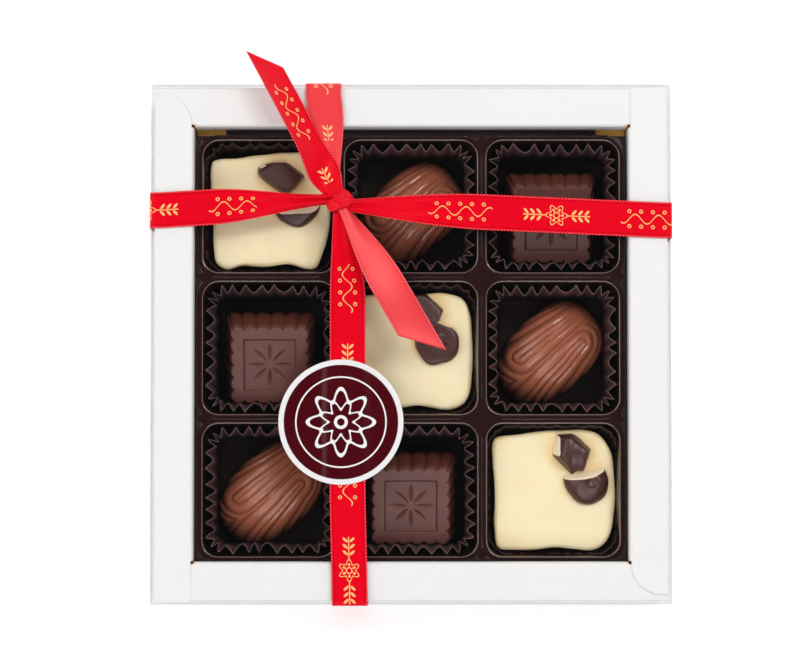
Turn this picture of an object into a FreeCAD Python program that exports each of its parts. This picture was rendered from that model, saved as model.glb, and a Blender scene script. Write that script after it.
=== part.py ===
import FreeCAD, Part
import Sketcher
import math
import os
import re

# A square box of nine chocolates with a clear lift-off lid, lying on its base.
# Millimetres, +Z up, origin at the middle of the underside. +X is to the right and +Y is
# the far side, which the upper loose end of the ribbon overhangs.

doc = FreeCAD.newDocument("ChocolateBox")
sheet = doc.addObject("Spreadsheet::Sheet", "Sizes")

# Driving sizes, one cell each.
SIZES = {
    # folded card tray
    "card_side": 144.0,
    "card_height": 30.0,
    "board": 0.6,
    "rim_width": 11.0,
    "fold_radius": 0.5,
    "wall_foot_gap": 0.4,
    "wall_end_gap": 0.2,
    "flap_straight": 2.5,
    "flap_setback": 2.0,
    "crease_radius": 0.4,
    "corner_tab_length": 8.2,
    "corner_tab_gap": 0.2,
    "corner_tab_height": 7.0,
    "corner_tab_drop": 3.8,
    # clear lid
    "lid_wall": 0.4,
    "lid_clearance": 0.6,
    "lid_radius": 1.0,
    "lid_table_gap": 2.0,
    # formed insert tray
    "film": 0.5,
    "flange_drop": 6.0,
    "insert_edge": 1.0,
    "bridge": 2.8,
    "pocket_run": 3.2,
    "pocket_radius": 4.5,
    "insert_side_gap": 0.4,
    "insert_gap": 0.3,
    "near_margin": 1.1,
    "far_margin": 1.3,
    "ledge_drop": 3.0,
    "ledge_end_gap": 8.6,
    # fluted paper cups
    "cup_paper": 0.25,
    "cup_gap": 0.3,
    "cup_rim_drop": 1.5,
    "cup_flute_depth": 2.8,
    "cup_spread_flute_depth": 0.6,
    "cup_floor_flute_depth": 0.3,
    "cup_flutes": 32,
    "seat_gap": 0.1,
    # dark moulded square
    "dark_gap": 3.1,
    "dark_draft": 1.5,
    "dark_height": 13.0,
    "dark_corner_radius": 1.2,
    "dark_groove_radius": 0.8,
    "dark_groove_depth": 0.55,
    "dark_ribs": 6,
    "dark_border": 3.55,
    "dark_panel_depth": 0.8,
    "dark_rays": 8,
    "dark_ray_gap": 0.25,
    "dark_ray_width": 1.5,
    "dark_ray_depth": 0.5,
    "dark_lean_angle": 11.0,
    "dark_shift": -1.5,
    # milk moulded oval
    "milk_reach": 0.7,
    "milk_oblong": 9.0,
    "milk_height": 14.0,
    "milk_angle": 43.0,
    "milk_shift": -0.7,
    # white enrobed square with two coated nut halves
    "white_foot_gap": 1.7,
    "white_top_gap": 1.42,
    "white_height": 18.0,
    "white_corner_radius": 7.0,
    "white_crown_radius": 4.0,
    "white_shift": -0.3,
    "nut_length": 11.5,
    "nut_width": 8.0,
    "nut_height": 4.4,
    "nut_gap": 1.8,
    "nut_angle": 25.0,
    "nut_upper_x_share": 0.127,
    "nut_lower_x_share": 0.24,
    "nut_y_share": 0.29,
    # ribbon
    "ribbon_width": 10.0,
    "ribbon": 0.25,
    "ribbon_gap": 0.05,
    "ribbon_tuck": 8.0,
    "ribbon_neck": 4.0,
    "ribbon_gather": 22.0,
    "ribbon_left_share": 0.2562,
    "ribbon_right_share": 0.237,
    "ribbon_far_share": -0.1685,
    "ribbon_near_share": -0.1171,
    "knot_x_share": -0.1363,
    "knot_y_share": 0.2692,
    "knot_radius": 4.0,
    "knot_height": 3.4,
    "tail_length": 45.6,
    "tail_cut": 9.5,
    "tail_neck_lift": 1.9,
    "upper_heading_angle": 117.6,
    "upper_roll_angle": 42.0,
    "upper_lift": 4.6,
    "lower_heading_angle": -59.5,
    "lower_roll_angle": 6.0,
    "lower_lift": 1.6,
    # round paper seal
    "seal_diameter": 35.0,
    "seal_border": 1.5,
    "seal_paper": 0.15,
    "seal_foil": 0.1,
    "seal_x_share": -0.1342,
    "seal_y_share": -0.1507,
}

# Kinds of chocolate, far row first, left to right: white, milk and dark.
LAYOUT = ("WMD", "DWM", "MDW")
CELLS = len(LAYOUT)

# Sizes that follow from the ones above.
DERIVED = {
    "opening_side": "card_side - 2 * rim_width",
    "flap_radius": "rim_width - flap_straight",
    "lower_rim_level": "card_height - board",
    "lid_side": "card_side + 2 * (lid_clearance + lid_wall)",
    "lid_top": "card_height + lid_wall",
    "flange_level": "card_height - flange_drop",
    "pitch": f"(opening_side - 2 * insert_edge) / {CELLS}",
    "mouth_side": "pitch - bridge",
    "floor_side": "mouth_side - 2 * pocket_run",
    "grid_span": f"{CELLS} * pitch - bridge",
    "flange_near_y": "insert_gap - opening_side / 2",
    "grid_y": "flange_near_y + near_margin + grid_span / 2",
    "flange_far_y": "grid_y + grid_span / 2 + far_margin",
    "flange_length": "opening_side - 2 * insert_side_gap",
    "ledge_depth": "opening_side / 2 - insert_gap - flange_far_y",
    "ledge_length": "flange_length - 2 * ledge_end_gap",
    "corner_tab_level": "flange_level - corner_tab_drop",
    "corner_tab_depth": "opening_side / 2 - flange_far_y - corner_tab_gap",
    "pocket_floor": "board + film",
    "pocket_depth": "flange_level - pocket_floor",
    "cup_floor": "pocket_floor + cup_paper",
    "choc_seat": "cup_floor + seat_gap",
    "dark_base": "floor_side - 2 * dark_gap",
    "dark_top": "dark_base - 2 * dark_draft",
    "dark_panel_side": "dark_top - 2 * dark_border",
    "dark_ray_length": "dark_panel_side / 2 - dark_ray_width - dark_ray_gap",
    "milk_length": "floor_side + milk_reach",
    "milk_width": "milk_length - milk_oblong",
    "white_base": "floor_side - 2 * white_foot_gap",
    "white_top": "floor_side + 2 * (white_height * pocket_run / pocket_depth - white_top_gap)",
    "nut_upper_x": "nut_upper_x_share * white_top",
    "nut_lower_x": "nut_lower_x_share * white_top",
    "nut_upper_y": "nut_y_share * white_top",
    "nut_lower_y": "nut_upper_y - nut_width - nut_gap",
    "knot_x": "knot_x_share * lid_side",
    "knot_y": "knot_y_share * lid_side",
    "ribbon_level": "lid_top + ribbon_gap",
    "seal_level": "ribbon_level + ribbon + ribbon_gap",
}


def fillSheet():
    for row, (alias, value) in enumerate({**SIZES, **DERIVED}.items(), start=1):
        text = f"={value}" if alias in DERIVED else str(value)
        sheet.set(f"A{row}", alias)
        sheet.set(f"B{row}", text)
        sheet.setAlias(f"B{row}", alias)
    doc.recompute()


def size(alias):
    return float(sheet.get(alias))


def formula(text):
    # names of cells in a formula get the sheet's name in front
    def name(match):
        word = match.group(0)
        return f"Sizes.{word}" if word in SIZES or word in DERIVED else word

    return re.sub(r"[a-z][a-z_]*", name, text)


def bind(item, **formulas):
    for prop, text in formulas.items():
        item.setExpression(prop, formula(text))
    return item


def place(item, x="0", y="0", z="0"):
    for axis, text in zip("xyz", (x, y, z)):
        item.setExpression(f"Placement.Base.{axis}", formula(text))
    return item


def turn(item, axis, angle):
    item.Placement.Rotation = FreeCAD.Rotation(FreeCAD.Vector(*axis), 1)
    item.setExpression("Placement.Rotation.Angle", formula(angle))
    return item


def box(name, length, width, height, x="0", y="0", z="0"):
    # a block by its sizes, the middle of its footprint and the level of its underside
    block = bind(doc.addObject("Part::Box", name), Length=length, Width=width, Height=height)
    return place(block, f"{x} - ({length}) / 2", f"{y} - ({width}) / 2", z)


def fuse(name, shapes):
    joined = doc.addObject("Part::MultiFuse", name)
    joined.Shapes = shapes
    joined.Refine = True
    return joined


def cut(name, base, tool):
    trimmed = doc.addObject("Part::Cut", name)
    trimmed.Base = base
    trimmed.Tool = tool
    return trimmed


def group(name, members):
    joined = doc.addObject("Part::Compound", name)
    joined.Links = members
    return joined


def originPlane(body, role):
    return next(f for f in body.Origin.OriginFeatures if f.Role == role)


def outline(body, name, corners, level="0", role="XY_Plane"):
    # a closed sketch whose corners are bound to formulas; it starts as a regular polygon
    sketch = body.newObject("Sketcher::SketchObject", name)
    sketch.AttachmentSupport = (originPlane(body, role), [""])
    sketch.MapMode = "FlatFace"
    sketch.setExpression("AttachmentOffset.Base.z", formula(level))
    count = len(corners)
    turns = [2 * math.pi * i / count for i in range(count)]
    start = [FreeCAD.Vector(math.cos(a), math.sin(a), 0) for a in turns]
    sides = [sketch.addGeometry(Part.LineSegment(start[i], start[(i + 1) % count])) for i in range(count)]
    for i, side in enumerate(sides):
        sketch.addConstraint(Sketcher.Constraint("Coincident", side, 2, sides[(i + 1) % count], 1))
    for side, point, corner in zip(sides, start, corners):
        for kind, value, text in zip(("DistanceX", "DistanceY"), (point.x, point.y), corner):
            index = sketch.addConstraint(Sketcher.Constraint(kind, -1, 1, side, 1, value))
            sketch.setExpression(f"Constraints[{index}]", formula(text))
    return sketch


def square(side):
    half = f"({side}) / 2"
    return [(half, half), (f"-{half}", half), (f"-{half}", f"-{half}"), (half, f"-{half}")]


def pad(body, name, sketch, length, kind="Pad", **formulas):
    feature = body.newObject(f"PartDesign::{kind}", name)
    feature.Profile = sketch
    bind(feature, Length=length, **formulas)
    doc.recompute()
    return feature


def roundEdges(body, name, radius, wanted):
    # fillets the edges of the body's last feature that the test picks by middle and direction
    base = body.Tip
    names = []
    for i, edge in enumerate(base.Shape.Edges, start=1):
        middle = edge.CenterOfMass
        along = edge.tangentAt(edge.FirstParameter)
        if wanted(middle, along):
            names.append(f"Edge{i}")
    feature = body.newObject("PartDesign::Fillet", name)
    feature.Base = (base, names)
    bind(feature, Radius=radius)
    doc.recompute()
    return feature


def frustum(name, base, top, height, radius, level="0"):
    # a square block that widens or narrows from base to top, with rounded corners
    body = doc.addObject("PartDesign::Body", name)
    sketch = outline(body, f"{name}_outline", square(base), level)
    pad(body, f"{name}_pad", sketch, height, TaperAngle=f"atan((({top}) - ({base})) / 2 / ({height}))")
    roundEdges(body, f"{name}_corners", radius, lambda middle, along: abs(along.z) > math.sin(math.pi / 4))
    return body


def cellPlaces():
    # name, kind and the steps of pitch right and far of the middle cell
    middle = CELLS // 2
    for row, kinds in enumerate(LAYOUT):
        for column, kind in enumerate(kinds):
            yield row * CELLS + column + 1, kind, column - middle, middle - row


def cellX(steps):
    return f"{steps} * pitch"


def cellY(steps):
    return f"grid_y + {steps} * pitch"


def cardShell():
    # floor and outer walls; the side walls stand one board higher, under the lapping rims
    outer = box("shell_block", "card_side", "card_side", "lower_rim_level - board")
    inner = box("shell_space", "card_side - 2 * board", "card_side - 2 * board", "card_height", z="board")
    tray = cut("shell_tray", outer, inner)
    sides = [
        box(f"shell_side_{name}", "board", "opening_side", "board",
            x=f"{sign} * (card_side - board) / 2", z="lower_rim_level - board")
        for name, sign in (("left", -1), ("right", 1))
    ]
    return fuse("card_shell", [tray, *sides])


def near(target, reach):
    return lambda value: abs(value - target) < reach


def foldedRim(name, top, lapping, angle):
    # a flat rim panel and the inner wall folded down from it, made at -X and turned to its side;
    # a lapping panel has one rounded end that stops short of the corner
    body = doc.addObject("PartDesign::Body", name)
    fold = "-opening_side / 2"
    inner = f"({fold} - board)"
    outer = "-card_side / 2"
    far = "card_side / 2 - flap_setback" if lapping else "card_side / 2"
    corners = [(outer, "-card_side / 2"), (inner, "-card_side / 2"), (inner, far), (outer, far)]
    panel = outline(body, f"{name}_panel", corners, f"{top} - board")
    pad(body, f"{name}_rim", panel, "board")
    foldX = -size("opening_side") / 2
    board = size("board")
    atPanel = near(foldX - board, board / 2)
    if lapping:
        roundEdges(body, f"{name}_flap", "flap_radius",
                   lambda middle, along: atPanel(middle.x) and middle.y > 0 and abs(along.z) > abs(along.y))
    half = "(opening_side / 2 - wall_end_gap)"
    foot = "board + wall_foot_gap"
    corners = [(inner, f"-{half}"), (fold, f"-{half}"), (fold, half), (inner, half)]
    wall = outline(body, f"{name}_wall_outline", corners, foot)
    pad(body, f"{name}_wall", wall, f"{top} - ({foot})")
    atTop = near(size(top), board / 2)
    atUnderside = near(size(top) - board, board / 2)
    atFold = near(foldX, board / 2)
    atCrease = near(-size("card_side") / 2, board / 2)

    def lengthwise(atX, atZ):
        # the long edge there, whose middle is near the middle of the side
        def wanted(middle, along):
            central = abs(middle.y) < -foldX / 2 and abs(along.y) > abs(along.z)
            return central and atX(middle.x) and atZ(middle.z)

        return wanted

    roundEdges(body, f"{name}_inside", "fold_radius", lengthwise(atPanel, atUnderside))
    roundEdges(body, f"{name}_outside", "fold_radius + board", lengthwise(atFold, atTop))
    roundEdges(body, f"{name}_crease", "crease_radius", lengthwise(atCrease, atTop))
    return turn(body, (0, 0, 1), angle)


def cornerTab(name, sign):
    # an angle of card against the far inner wall, in one corner
    middle = f"{sign} * (opening_side / 2 - 2 * wall_end_gap - corner_tab_length / 2)"
    leg = box(f"{name}_leg", "corner_tab_length", "board", "corner_tab_height", x=middle,
              y="(opening_side - board) / 2", z="corner_tab_level - corner_tab_height")
    lip = box(f"{name}_lip", "corner_tab_length", "corner_tab_depth", "board", x=middle,
              y="(opening_side - corner_tab_depth) / 2", z="corner_tab_level - board")
    return fuse(name, [leg, lip])


def clearLid():
    body = doc.addObject("PartDesign::Body", "clear_lid")
    shell = outline(body, "lid_outline", square("lid_side"), "lid_table_gap")
    pad(body, "lid_block", shell, "lid_top - lid_table_gap")
    foot = size("lid_table_gap")
    roundEdges(body, "lid_edges", "lid_radius", lambda middle, along: middle.z > foot + size("lid_wall"))
    space = outline(body, "lid_space_outline", square("lid_side - 2 * lid_wall"), "lid_table_gap")
    depth = "card_height - lid_table_gap"
    pad(body, "lid_space", space, depth, kind="Pocket").Reversed = True
    return body


def insertTray():
    # a flange with nine tapered pockets, and a lower ledge along its far side
    flange = box("flange", "flange_length", "flange_far_y - flange_near_y", "film",
                 y="(flange_far_y + flange_near_y) / 2", z="flange_level - film")
    skirt = box("ledge_skirt", "ledge_length", "film", "ledge_drop",
                y="flange_far_y - film / 2", z="flange_level - ledge_drop")
    ledge = box("ledge", "ledge_length", "ledge_depth + film", "film",
                y="flange_far_y + (ledge_depth - film) / 2", z="flange_level - ledge_drop")
    space = frustum("pocket_space", "floor_side", "mouth_side", "pocket_depth", "pocket_radius", "pocket_floor")
    wall = frustum("pocket_wall", "floor_side + 2 * film", "mouth_side + 2 * film", "pocket_depth + film",
                   "pocket_radius + film", "board")
    walls = []
    spaces = []
    for number, _, right, far in cellPlaces():
        for label, master, members in (("wall", wall, walls), ("space", space, spaces)):
            copy = group(f"pocket_{label}_{number}", [master])
            members.append(place(copy, cellX(right), cellY(far)))
    solid = fuse("insert_block", [flange, skirt, ledge, *walls])
    return cut("insert_tray", solid, group("pocket_spaces", spaces))


def flutedRing(half, depth, z, squareness=8):
    # a zigzag ring round a rounded square: outer points on the square, inner ones one depth in
    count = int(size("cup_flutes"))
    points = []
    for i in range(2 * count):
        angle = math.pi * i / count
        bulge = abs(math.cos(angle)) ** squareness + abs(math.sin(angle)) ** squareness
        radius = (half - depth * (i % 2)) / bulge ** (1 / squareness)
        points.append(FreeCAD.Vector(radius * math.cos(angle), radius * math.sin(angle), z))
    return Part.makePolygon(points + points[:1])


def cupShape(fluteDepth):
    # a fluted paper cup that follows its pocket, open at the top, with its floor on the pocket's
    paper = size("cup_paper")
    floor = size("pocket_floor")
    rim = size("flange_level") - size("cup_rim_drop")
    slope = (size("mouth_side") - size("floor_side")) / 2 / size("pocket_depth")
    floorHalf = size("floor_side") / 2 - size("cup_gap")
    rimHalf = floorHalf + slope * (rim - floor)
    floorDepth = size("cup_floor_flute_depth")

    def skin(inset, low):
        share = (low - floor) / (rim - floor)
        lowHalf = floorHalf + share * (rimHalf - floorHalf) - inset
        lowDepth = floorDepth + share * (fluteDepth - floorDepth)
        rings = [flutedRing(lowHalf, lowDepth, low), flutedRing(rimHalf - inset, fluteDepth, rim)]
        return Part.makeLoft(rings, True, True)

    return skin(0, floor).cut(skin(paper, floor + paper))


def shapeFeature(name, shape):
    feature = doc.addObject("Part::Feature", name)
    feature.Shape = shape
    return feature


def darkSquare():
    # a moulded square with grooved sides, a sunk panel and a star of rays sunk in it
    name = "dark_mould"
    body = frustum(name, "dark_base", "dark_top", "dark_height", "dark_corner_radius")
    sunk = outline(body, "panel_outline", square("dark_panel_side"), "dark_height")
    pad(body, "panel", sunk, "dark_panel_depth", kind="Pocket")
    inner = "dark_ray_width"
    tip = f"({inner} + dark_ray_length)"
    middle = f"({inner} + dark_ray_length / 2)"
    side = "dark_ray_width / 2"
    corners = [(inner, "0"), (middle, f"-{side}"), (tip, "0"), (middle, side)]
    leaf = outline(body, "ray_outline", corners, "dark_height - dark_panel_depth")
    ray = pad(body, "ray", leaf, "dark_ray_depth", kind="Pocket")
    star = body.newObject("PartDesign::PolarPattern", "star")
    star.Originals = [ray]
    star.Axis = (leaf, ["N_Axis"])
    bind(star, Occurrences="dark_rays")
    body.Tip = star
    doc.recompute()
    ribs = int(size("dark_ribs"))
    slope = math.atan((size("dark_base") - size("dark_top")) / 2 / size("dark_height"))
    radius = size("dark_groove_radius")
    stand = size("dark_base") / 2 + radius - size("dark_groove_depth")
    length = size("dark_height") / math.cos(slope) + 2 * radius
    grooves = []
    for side in range(4):
        spin = FreeCAD.Rotation(FreeCAD.Vector(0, 0, 1), math.degrees(math.pi / 2 * side))
        lean = FreeCAD.Rotation(FreeCAD.Vector(1, 0, 0), -math.degrees(slope))
        for rib in range(1, ribs):
            across = size("dark_base") * (rib / ribs - 1 / 2)
            start = FreeCAD.Vector(across, -stand, 0) - lean.multVec(FreeCAD.Vector(0, 0, radius))
            groove = Part.makeCylinder(radius, length)
            groove.Placement = FreeCAD.Placement(spin.multVec(start), spin.multiply(lean))
            grooves.append(groove)
    return cut("dark_square", body, shapeFeature("dark_grooves", Part.makeCompound(grooves)))


def milkOval():
    # a domed oval, the upper half of an ellipsoid
    dome = doc.addObject("Part::Ellipsoid", "milk_oval")
    bind(dome, Radius1="milk_height", Radius2="milk_length / 2", Radius3="milk_width / 2", Angle1="0")
    return dome


def whiteSquare():
    body = frustum("white_square", "white_base", "white_top", "white_height", "white_corner_radius")
    crown = near(size("white_height"), size("white_crown_radius") / 2)
    roundEdges(body, "white_crown", "white_crown_radius",
               lambda middle, along: crown(middle.z) and abs(along.z) < math.sin(math.pi / 4))
    return body


def nutHalf(name, length, angle):
    half = doc.addObject("Part::Ellipsoid", name)
    bind(half, Radius1="nut_height", Radius2=f"{length} / 2", Radius3="nut_width / 2", Angle1="0")
    return turn(place(half, f"{name}_x", f"{name}_y"), (0, 0, 1), angle)


def ribbonArm(name, edgeX, edgeY, angle):
    # one arm of the ribbon, made along +X and turned to its side: flat on the lid from the knot
    # out, over the edge, down the wall, under the lid's rim and a little way up inside it
    spin = FreeCAD.Rotation(FreeCAD.Vector(0, 0, 1), angle)
    back = spin.inverted()
    knot = back.multVec(FreeCAD.Vector(size("knot_x"), size("knot_y"), 0))
    edge = back.multVec(FreeCAD.Vector(edgeX, edgeY, 0))
    ribbon = size("ribbon")
    gap = size("ribbon_gap")
    width = size("ribbon_width")
    level = size("ribbon_level")
    foot = size("lid_table_gap") - gap - ribbon
    wall = size("lid_side") / 2 + gap
    inside = size("lid_side") / 2 - size("lid_wall") - gap - ribbon
    start = knot.x + size("knot_radius") + size("seat_gap")
    full = knot.x + size("ribbon_gather")

    square = edge.x - 2 * size("lid_radius")

    def middle(x):
        return knot.y + (edge.y - knot.y) * (min(x, square) - knot.x) / (square - knot.x)

    stations = ((start, size("ribbon_neck")), (full, width), (square, width), (wall + ribbon, width))
    ends = [(x, middle(x), breadth / 2) for x, breadth in stations]
    ring = [FreeCAD.Vector(x, y - half, level) for x, y, half in ends]
    ring += [FreeCAD.Vector(x, y + half, level) for x, y, half in reversed(ends)]
    top = Part.Face(Part.makePolygon(ring + ring[:1])).extrude(FreeCAD.Vector(0, 0, ribbon))
    low = edge.y - width / 2
    drop = Part.makeBox(ribbon, width, level + ribbon - foot, FreeCAD.Vector(wall, low, foot))
    under = Part.makeBox(wall + ribbon - inside, width, ribbon, FreeCAD.Vector(inside, low, foot))
    tuck = Part.makeBox(ribbon, width, size("ribbon_tuck"), FreeCAD.Vector(inside, low, foot))
    strip = top.fuse([drop, under, tuck]).removeSplitter()

    def bend(x, z):
        return [e for e in strip.Edges
                if abs(e.CenterOfMass.x - x) < gap and abs(e.CenterOfMass.z - z) < gap and e.Length > ribbon * 2]

    strip = strip.makeFillet(size("lid_radius") + gap, bend(wall, level))
    strip = strip.makeFillet(size("lid_radius") + gap + ribbon, bend(wall + ribbon, level + ribbon))
    arm = shapeFeature(name, strip)
    arm.Placement = FreeCAD.Placement(FreeCAD.Vector(), spin)
    return arm


def ribbonTail(name, heading, roll, lift):
    # a loose end of the ribbon: a flat strip that opens out from the knot, rolled about its own
    # length, and cut on the slant
    width = size("ribbon_width")
    half = size("ribbon") / 2
    reach = size("knot_radius") + size("seat_gap")
    neck = size("ribbon_neck")
    slant = size("tail_cut") / 2
    level = size("ribbon_level")
    stations = (
        (reach, neck, size("tail_neck_lift"), 0),
        (reach + width, width, lift, 0),
        (size("tail_length"), width, lift, slant),
    )
    lean = math.radians(roll)
    across = FreeCAD.Vector(0, math.cos(lean), math.sin(lean))
    normal = FreeCAD.Vector(0, -math.sin(lean), math.cos(lean))
    rings = []
    for x, breadth, height, skew in stations:
        corners = []
        for side, face in ((-1, -1), (1, -1), (1, 1), (-1, 1)):
            point = FreeCAD.Vector(x + side * skew, 0, level + height)
            corners.append(point + across * (side * breadth / 2) + normal * (face * half))
        rings.append(Part.makePolygon(corners + corners[:1]))
    tail = shapeFeature(name, Part.makeLoft(rings, True, True))
    spin = FreeCAD.Rotation(FreeCAD.Vector(0, 0, 1), heading)
    tail.Placement = FreeCAD.Placement(FreeCAD.Vector(size("knot_x"), size("knot_y"), 0), spin)
    return tail


def ribbonKnot():
    knot = doc.addObject("Part::Ellipsoid", "ribbon_knot")
    bind(knot, Radius1="knot_height", Radius2="knot_radius", Radius3="knot_radius", Angle1="0")
    return place(knot, "knot_x", "knot_y", "ribbon_level")


def sealDisc(name, radius, thickness, level):
    disc = bind(doc.addObject("Part::Cylinder", name), Radius=radius, Height=thickness)
    return place(disc, "seal_x_share * lid_side", "seal_y_share * lid_side", level)


def buildNodes():
    nodes = [cardShell()]
    nodes.append(foldedRim("rim_left", "card_height", True, "0"))
    nodes.append(foldedRim("rim_right", "card_height", True, "180"))
    nodes.append(foldedRim("rim_near", "lower_rim_level", False, "90"))
    nodes.append(foldedRim("rim_far", "lower_rim_level", False, "270"))
    nodes += [cornerTab("corner_tab_left", -1), cornerTab("corner_tab_right", 1)]
    nodes += [clearLid(), insertTray()]

    relaxed = shapeFeature("cup_relaxed", cupShape(size("cup_flute_depth")))
    spread = shapeFeature("cup_spread", cupShape(size("cup_spread_flute_depth")))
    dark = darkSquare()
    milk = milkOval()
    white = whiteSquare()
    nuts = group("nut_pair", [
        nutHalf("nut_upper", "nut_length", "-nut_angle"),
        nutHalf("nut_lower", "nut_width", "nut_angle"),
    ])
    for number, kind, right, far in cellPlaces():
        x = cellX(right)
        y = cellY(far)
        nodes.append(place(group(f"paper_cup_{number}", [spread if kind == "W" else relaxed]), x, y))
        if kind == "D":
            lifted = "choc_seat + dark_base / 2 * sin(dark_lean_angle)"
            choc = place(group(f"dark_square_{number}", [dark]), x, f"{y} + dark_shift", lifted)
            nodes.append(turn(choc, (1, 0, 0), "dark_lean_angle"))
        elif kind == "M":
            choc = place(group(f"milk_oval_{number}", [milk]), x, f"{y} + milk_shift", "choc_seat")
            nodes.append(turn(choc, (0, 0, 1), "milk_angle"))
        else:
            seat = f"{y} + white_shift"
            nodes.append(place(group(f"white_square_{number}", [white]), x, seat, "choc_seat"))
            crown = "choc_seat + white_height"
            nodes.append(place(group(f"nut_halves_{number}", [nuts]), x, seat, crown))

    side = size("lid_side")
    nodes.append(ribbonArm("ribbon_right", side / 2, side * size("ribbon_right_share"), 0))
    nodes.append(ribbonArm("ribbon_far", side * size("ribbon_far_share"), side / 2, 90))
    nodes.append(ribbonArm("ribbon_left", -side / 2, side * size("ribbon_left_share"), 180))
    nodes.append(ribbonArm("ribbon_near", side * size("ribbon_near_share"), -side / 2, 270))
    nodes.append(ribbonKnot())
    for end in ("upper", "lower"):
        heading, roll, lift = (size(f"{end}_{what}") for what in ("heading_angle", "roll_angle", "lift"))
        nodes.append(ribbonTail(f"ribbon_tail_{end}", heading, roll, lift))
    nodes.append(sealDisc("seal_paper_disc", "seal_diameter / 2", "seal_paper", "seal_level"))
    nodes.append(sealDisc("seal_foil_disc", "seal_diameter / 2 - seal_border", "seal_foil",
                          "seal_level + seal_paper"))
    return nodes


def writeNodes(nodes):
    doc.recompute()
    failed = [item.Name for item in doc.Objects if {"Invalid", "Error"} & set(item.State)]
    failed += [node.Label for node in nodes if node.Shape.isNull() or not node.Shape.isValid()]
    if failed:
        raise RuntimeError("these did not build: " + ", ".join(failed))
    os.makedirs("parts", exist_ok=True)
    for node in nodes:
        node.Shape.exportStep(f"parts/{node.Label}.step")
        print(node.Label, len(node.Shape.Solids), "solid,", round(node.Shape.Volume, 1), "mm3")


fillSheet()
writeNodes(buildNodes())
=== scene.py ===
import math

import bmesh
import bpy
import numpy as np
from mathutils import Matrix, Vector


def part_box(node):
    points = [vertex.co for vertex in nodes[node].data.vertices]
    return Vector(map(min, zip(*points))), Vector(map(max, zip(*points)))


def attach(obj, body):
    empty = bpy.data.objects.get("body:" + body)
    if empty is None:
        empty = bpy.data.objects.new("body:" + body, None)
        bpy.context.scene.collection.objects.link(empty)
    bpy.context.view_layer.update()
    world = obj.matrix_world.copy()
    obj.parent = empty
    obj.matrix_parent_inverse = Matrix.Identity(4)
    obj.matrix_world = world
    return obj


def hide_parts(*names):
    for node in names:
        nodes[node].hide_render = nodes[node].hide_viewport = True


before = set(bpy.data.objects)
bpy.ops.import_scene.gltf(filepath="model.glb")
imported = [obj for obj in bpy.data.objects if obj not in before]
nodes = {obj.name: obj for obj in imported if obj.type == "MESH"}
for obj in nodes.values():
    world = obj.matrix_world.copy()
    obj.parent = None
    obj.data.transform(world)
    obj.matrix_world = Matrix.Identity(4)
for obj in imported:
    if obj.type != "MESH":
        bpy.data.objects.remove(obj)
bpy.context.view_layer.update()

mm = 0.001
fullTurn, quarterTurn = 2 * math.pi, math.pi / 2


def boxOf(node):
    return [np.array(corner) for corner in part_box(node)]


def middleOf(node):
    return sum(boxOf(node)) / 2


def smooth(low, high, x):
    # an S-shaped step from 0 at low to 1 at high
    t = np.clip((np.asarray(x, float) - low) / (high - low), 0, 1)
    return t * t * (3 - 2 * t)


def ripple(x, y, seed, wavelength, waves=6):
    # soft irregular relief from -1 to 1: the mean of a few plane waves in seeded directions
    rng = np.random.default_rng(seed)
    draws = [rng.uniform(low, high, waves) for low, high in ((0, math.pi), (0, fullTurn), (0.7, 1.5))]
    total = 0
    for heading, phase, stretch in zip(*draws):
        along = x * np.cos(heading) + y * np.sin(heading)
        total = total + np.sin(fullTurn * along / (wavelength * stretch) + phase)
    return total / waves


def together(*values):
    # values on one grid side by side in a last axis, such as x, y and z as points
    return np.stack(np.broadcast_arrays(*values), -1)


def raised(plan, z):
    # points from places in plan and their heights, one for each row or one for each point
    return together(plan[..., 0], plan[..., 1], np.asarray(z, float).reshape(len(plan), -1))


def turned(points, angle, axis="z"):
    c, s = math.cos(angle), math.sin(angle)
    matrix = {"x": [[1, 0, 0], [0, c, -s], [0, s, c]], "z": [[c, -s, 0], [s, c, 0], [0, 0, 1]]}[axis]
    return points @ np.array(matrix).T


def squareLoop(perSide, even=False):
    # the edge of a square from -1 to 1, counterclockwise from its near left corner and closed;
    # points crowd towards the corners by a sine unless they are even
    t = np.linspace(-1, 1, perSide, endpoint=False)
    t = t if even else np.sin(quarterTurn * t)
    one = np.ones_like(t)
    loop = np.stack([np.concatenate([t, one, -t, -one]), np.concatenate([-one, t, one, -t])], -1)
    return np.vstack([loop, loop[:1]])


def roundedLoop(square, half, radius):
    # scales a square's edge to each half size and pulls its corners back onto arcs of each radius;
    # gives the points and their outward directions, one row for each size
    half, radius = (np.asarray(v, float).reshape(-1, 1, 1) for v in (half, radius))
    flat = square * half
    core = np.clip(flat, np.minimum(radius - half, 0), np.maximum(half - radius, 0))
    out = flat - core
    out = out / np.maximum(np.linalg.norm(out, axis=-1, keepdims=True), 1e-12)
    return core + out * radius, out


def softLoop(corners, count):
    # a closed curve through corner points: each stretch is the cubic whose slope at a point is
    # half the step between that point's neighbours
    t = np.linspace(0, len(corners), count + 1)[:, None]
    step = np.floor(t[:, 0]).astype(int)
    f = t - step[:, None]
    before, here, after, beyond = (corners[(step + k) % len(corners)] for k in (-1, 0, 1, 2))
    return (here + f * (after - before) / 2 + f ** 2 * (before - 2.5 * here + 2 * after - beyond / 2)
            + f ** 3 * (1.5 * (here - after) + (beyond - before) / 2))


def roundedRun(corners, radii):
    # a line through corner points, each inner corner rounded by an arc of its radius
    run = [corners[:1]]
    t = np.linspace(0, quarterTurn, 7)[:, None]
    for before, corner, after, radius in zip(corners, corners[1:], corners[2:], radii):
        back, ahead = ((end - corner) / np.linalg.norm(end - corner) for end in (before, after))
        run.append(corner + radius * (back * (1 - np.sin(t)) + ahead * (1 - np.cos(t))))
    return np.concatenate([*run, corners[-1:]])


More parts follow.
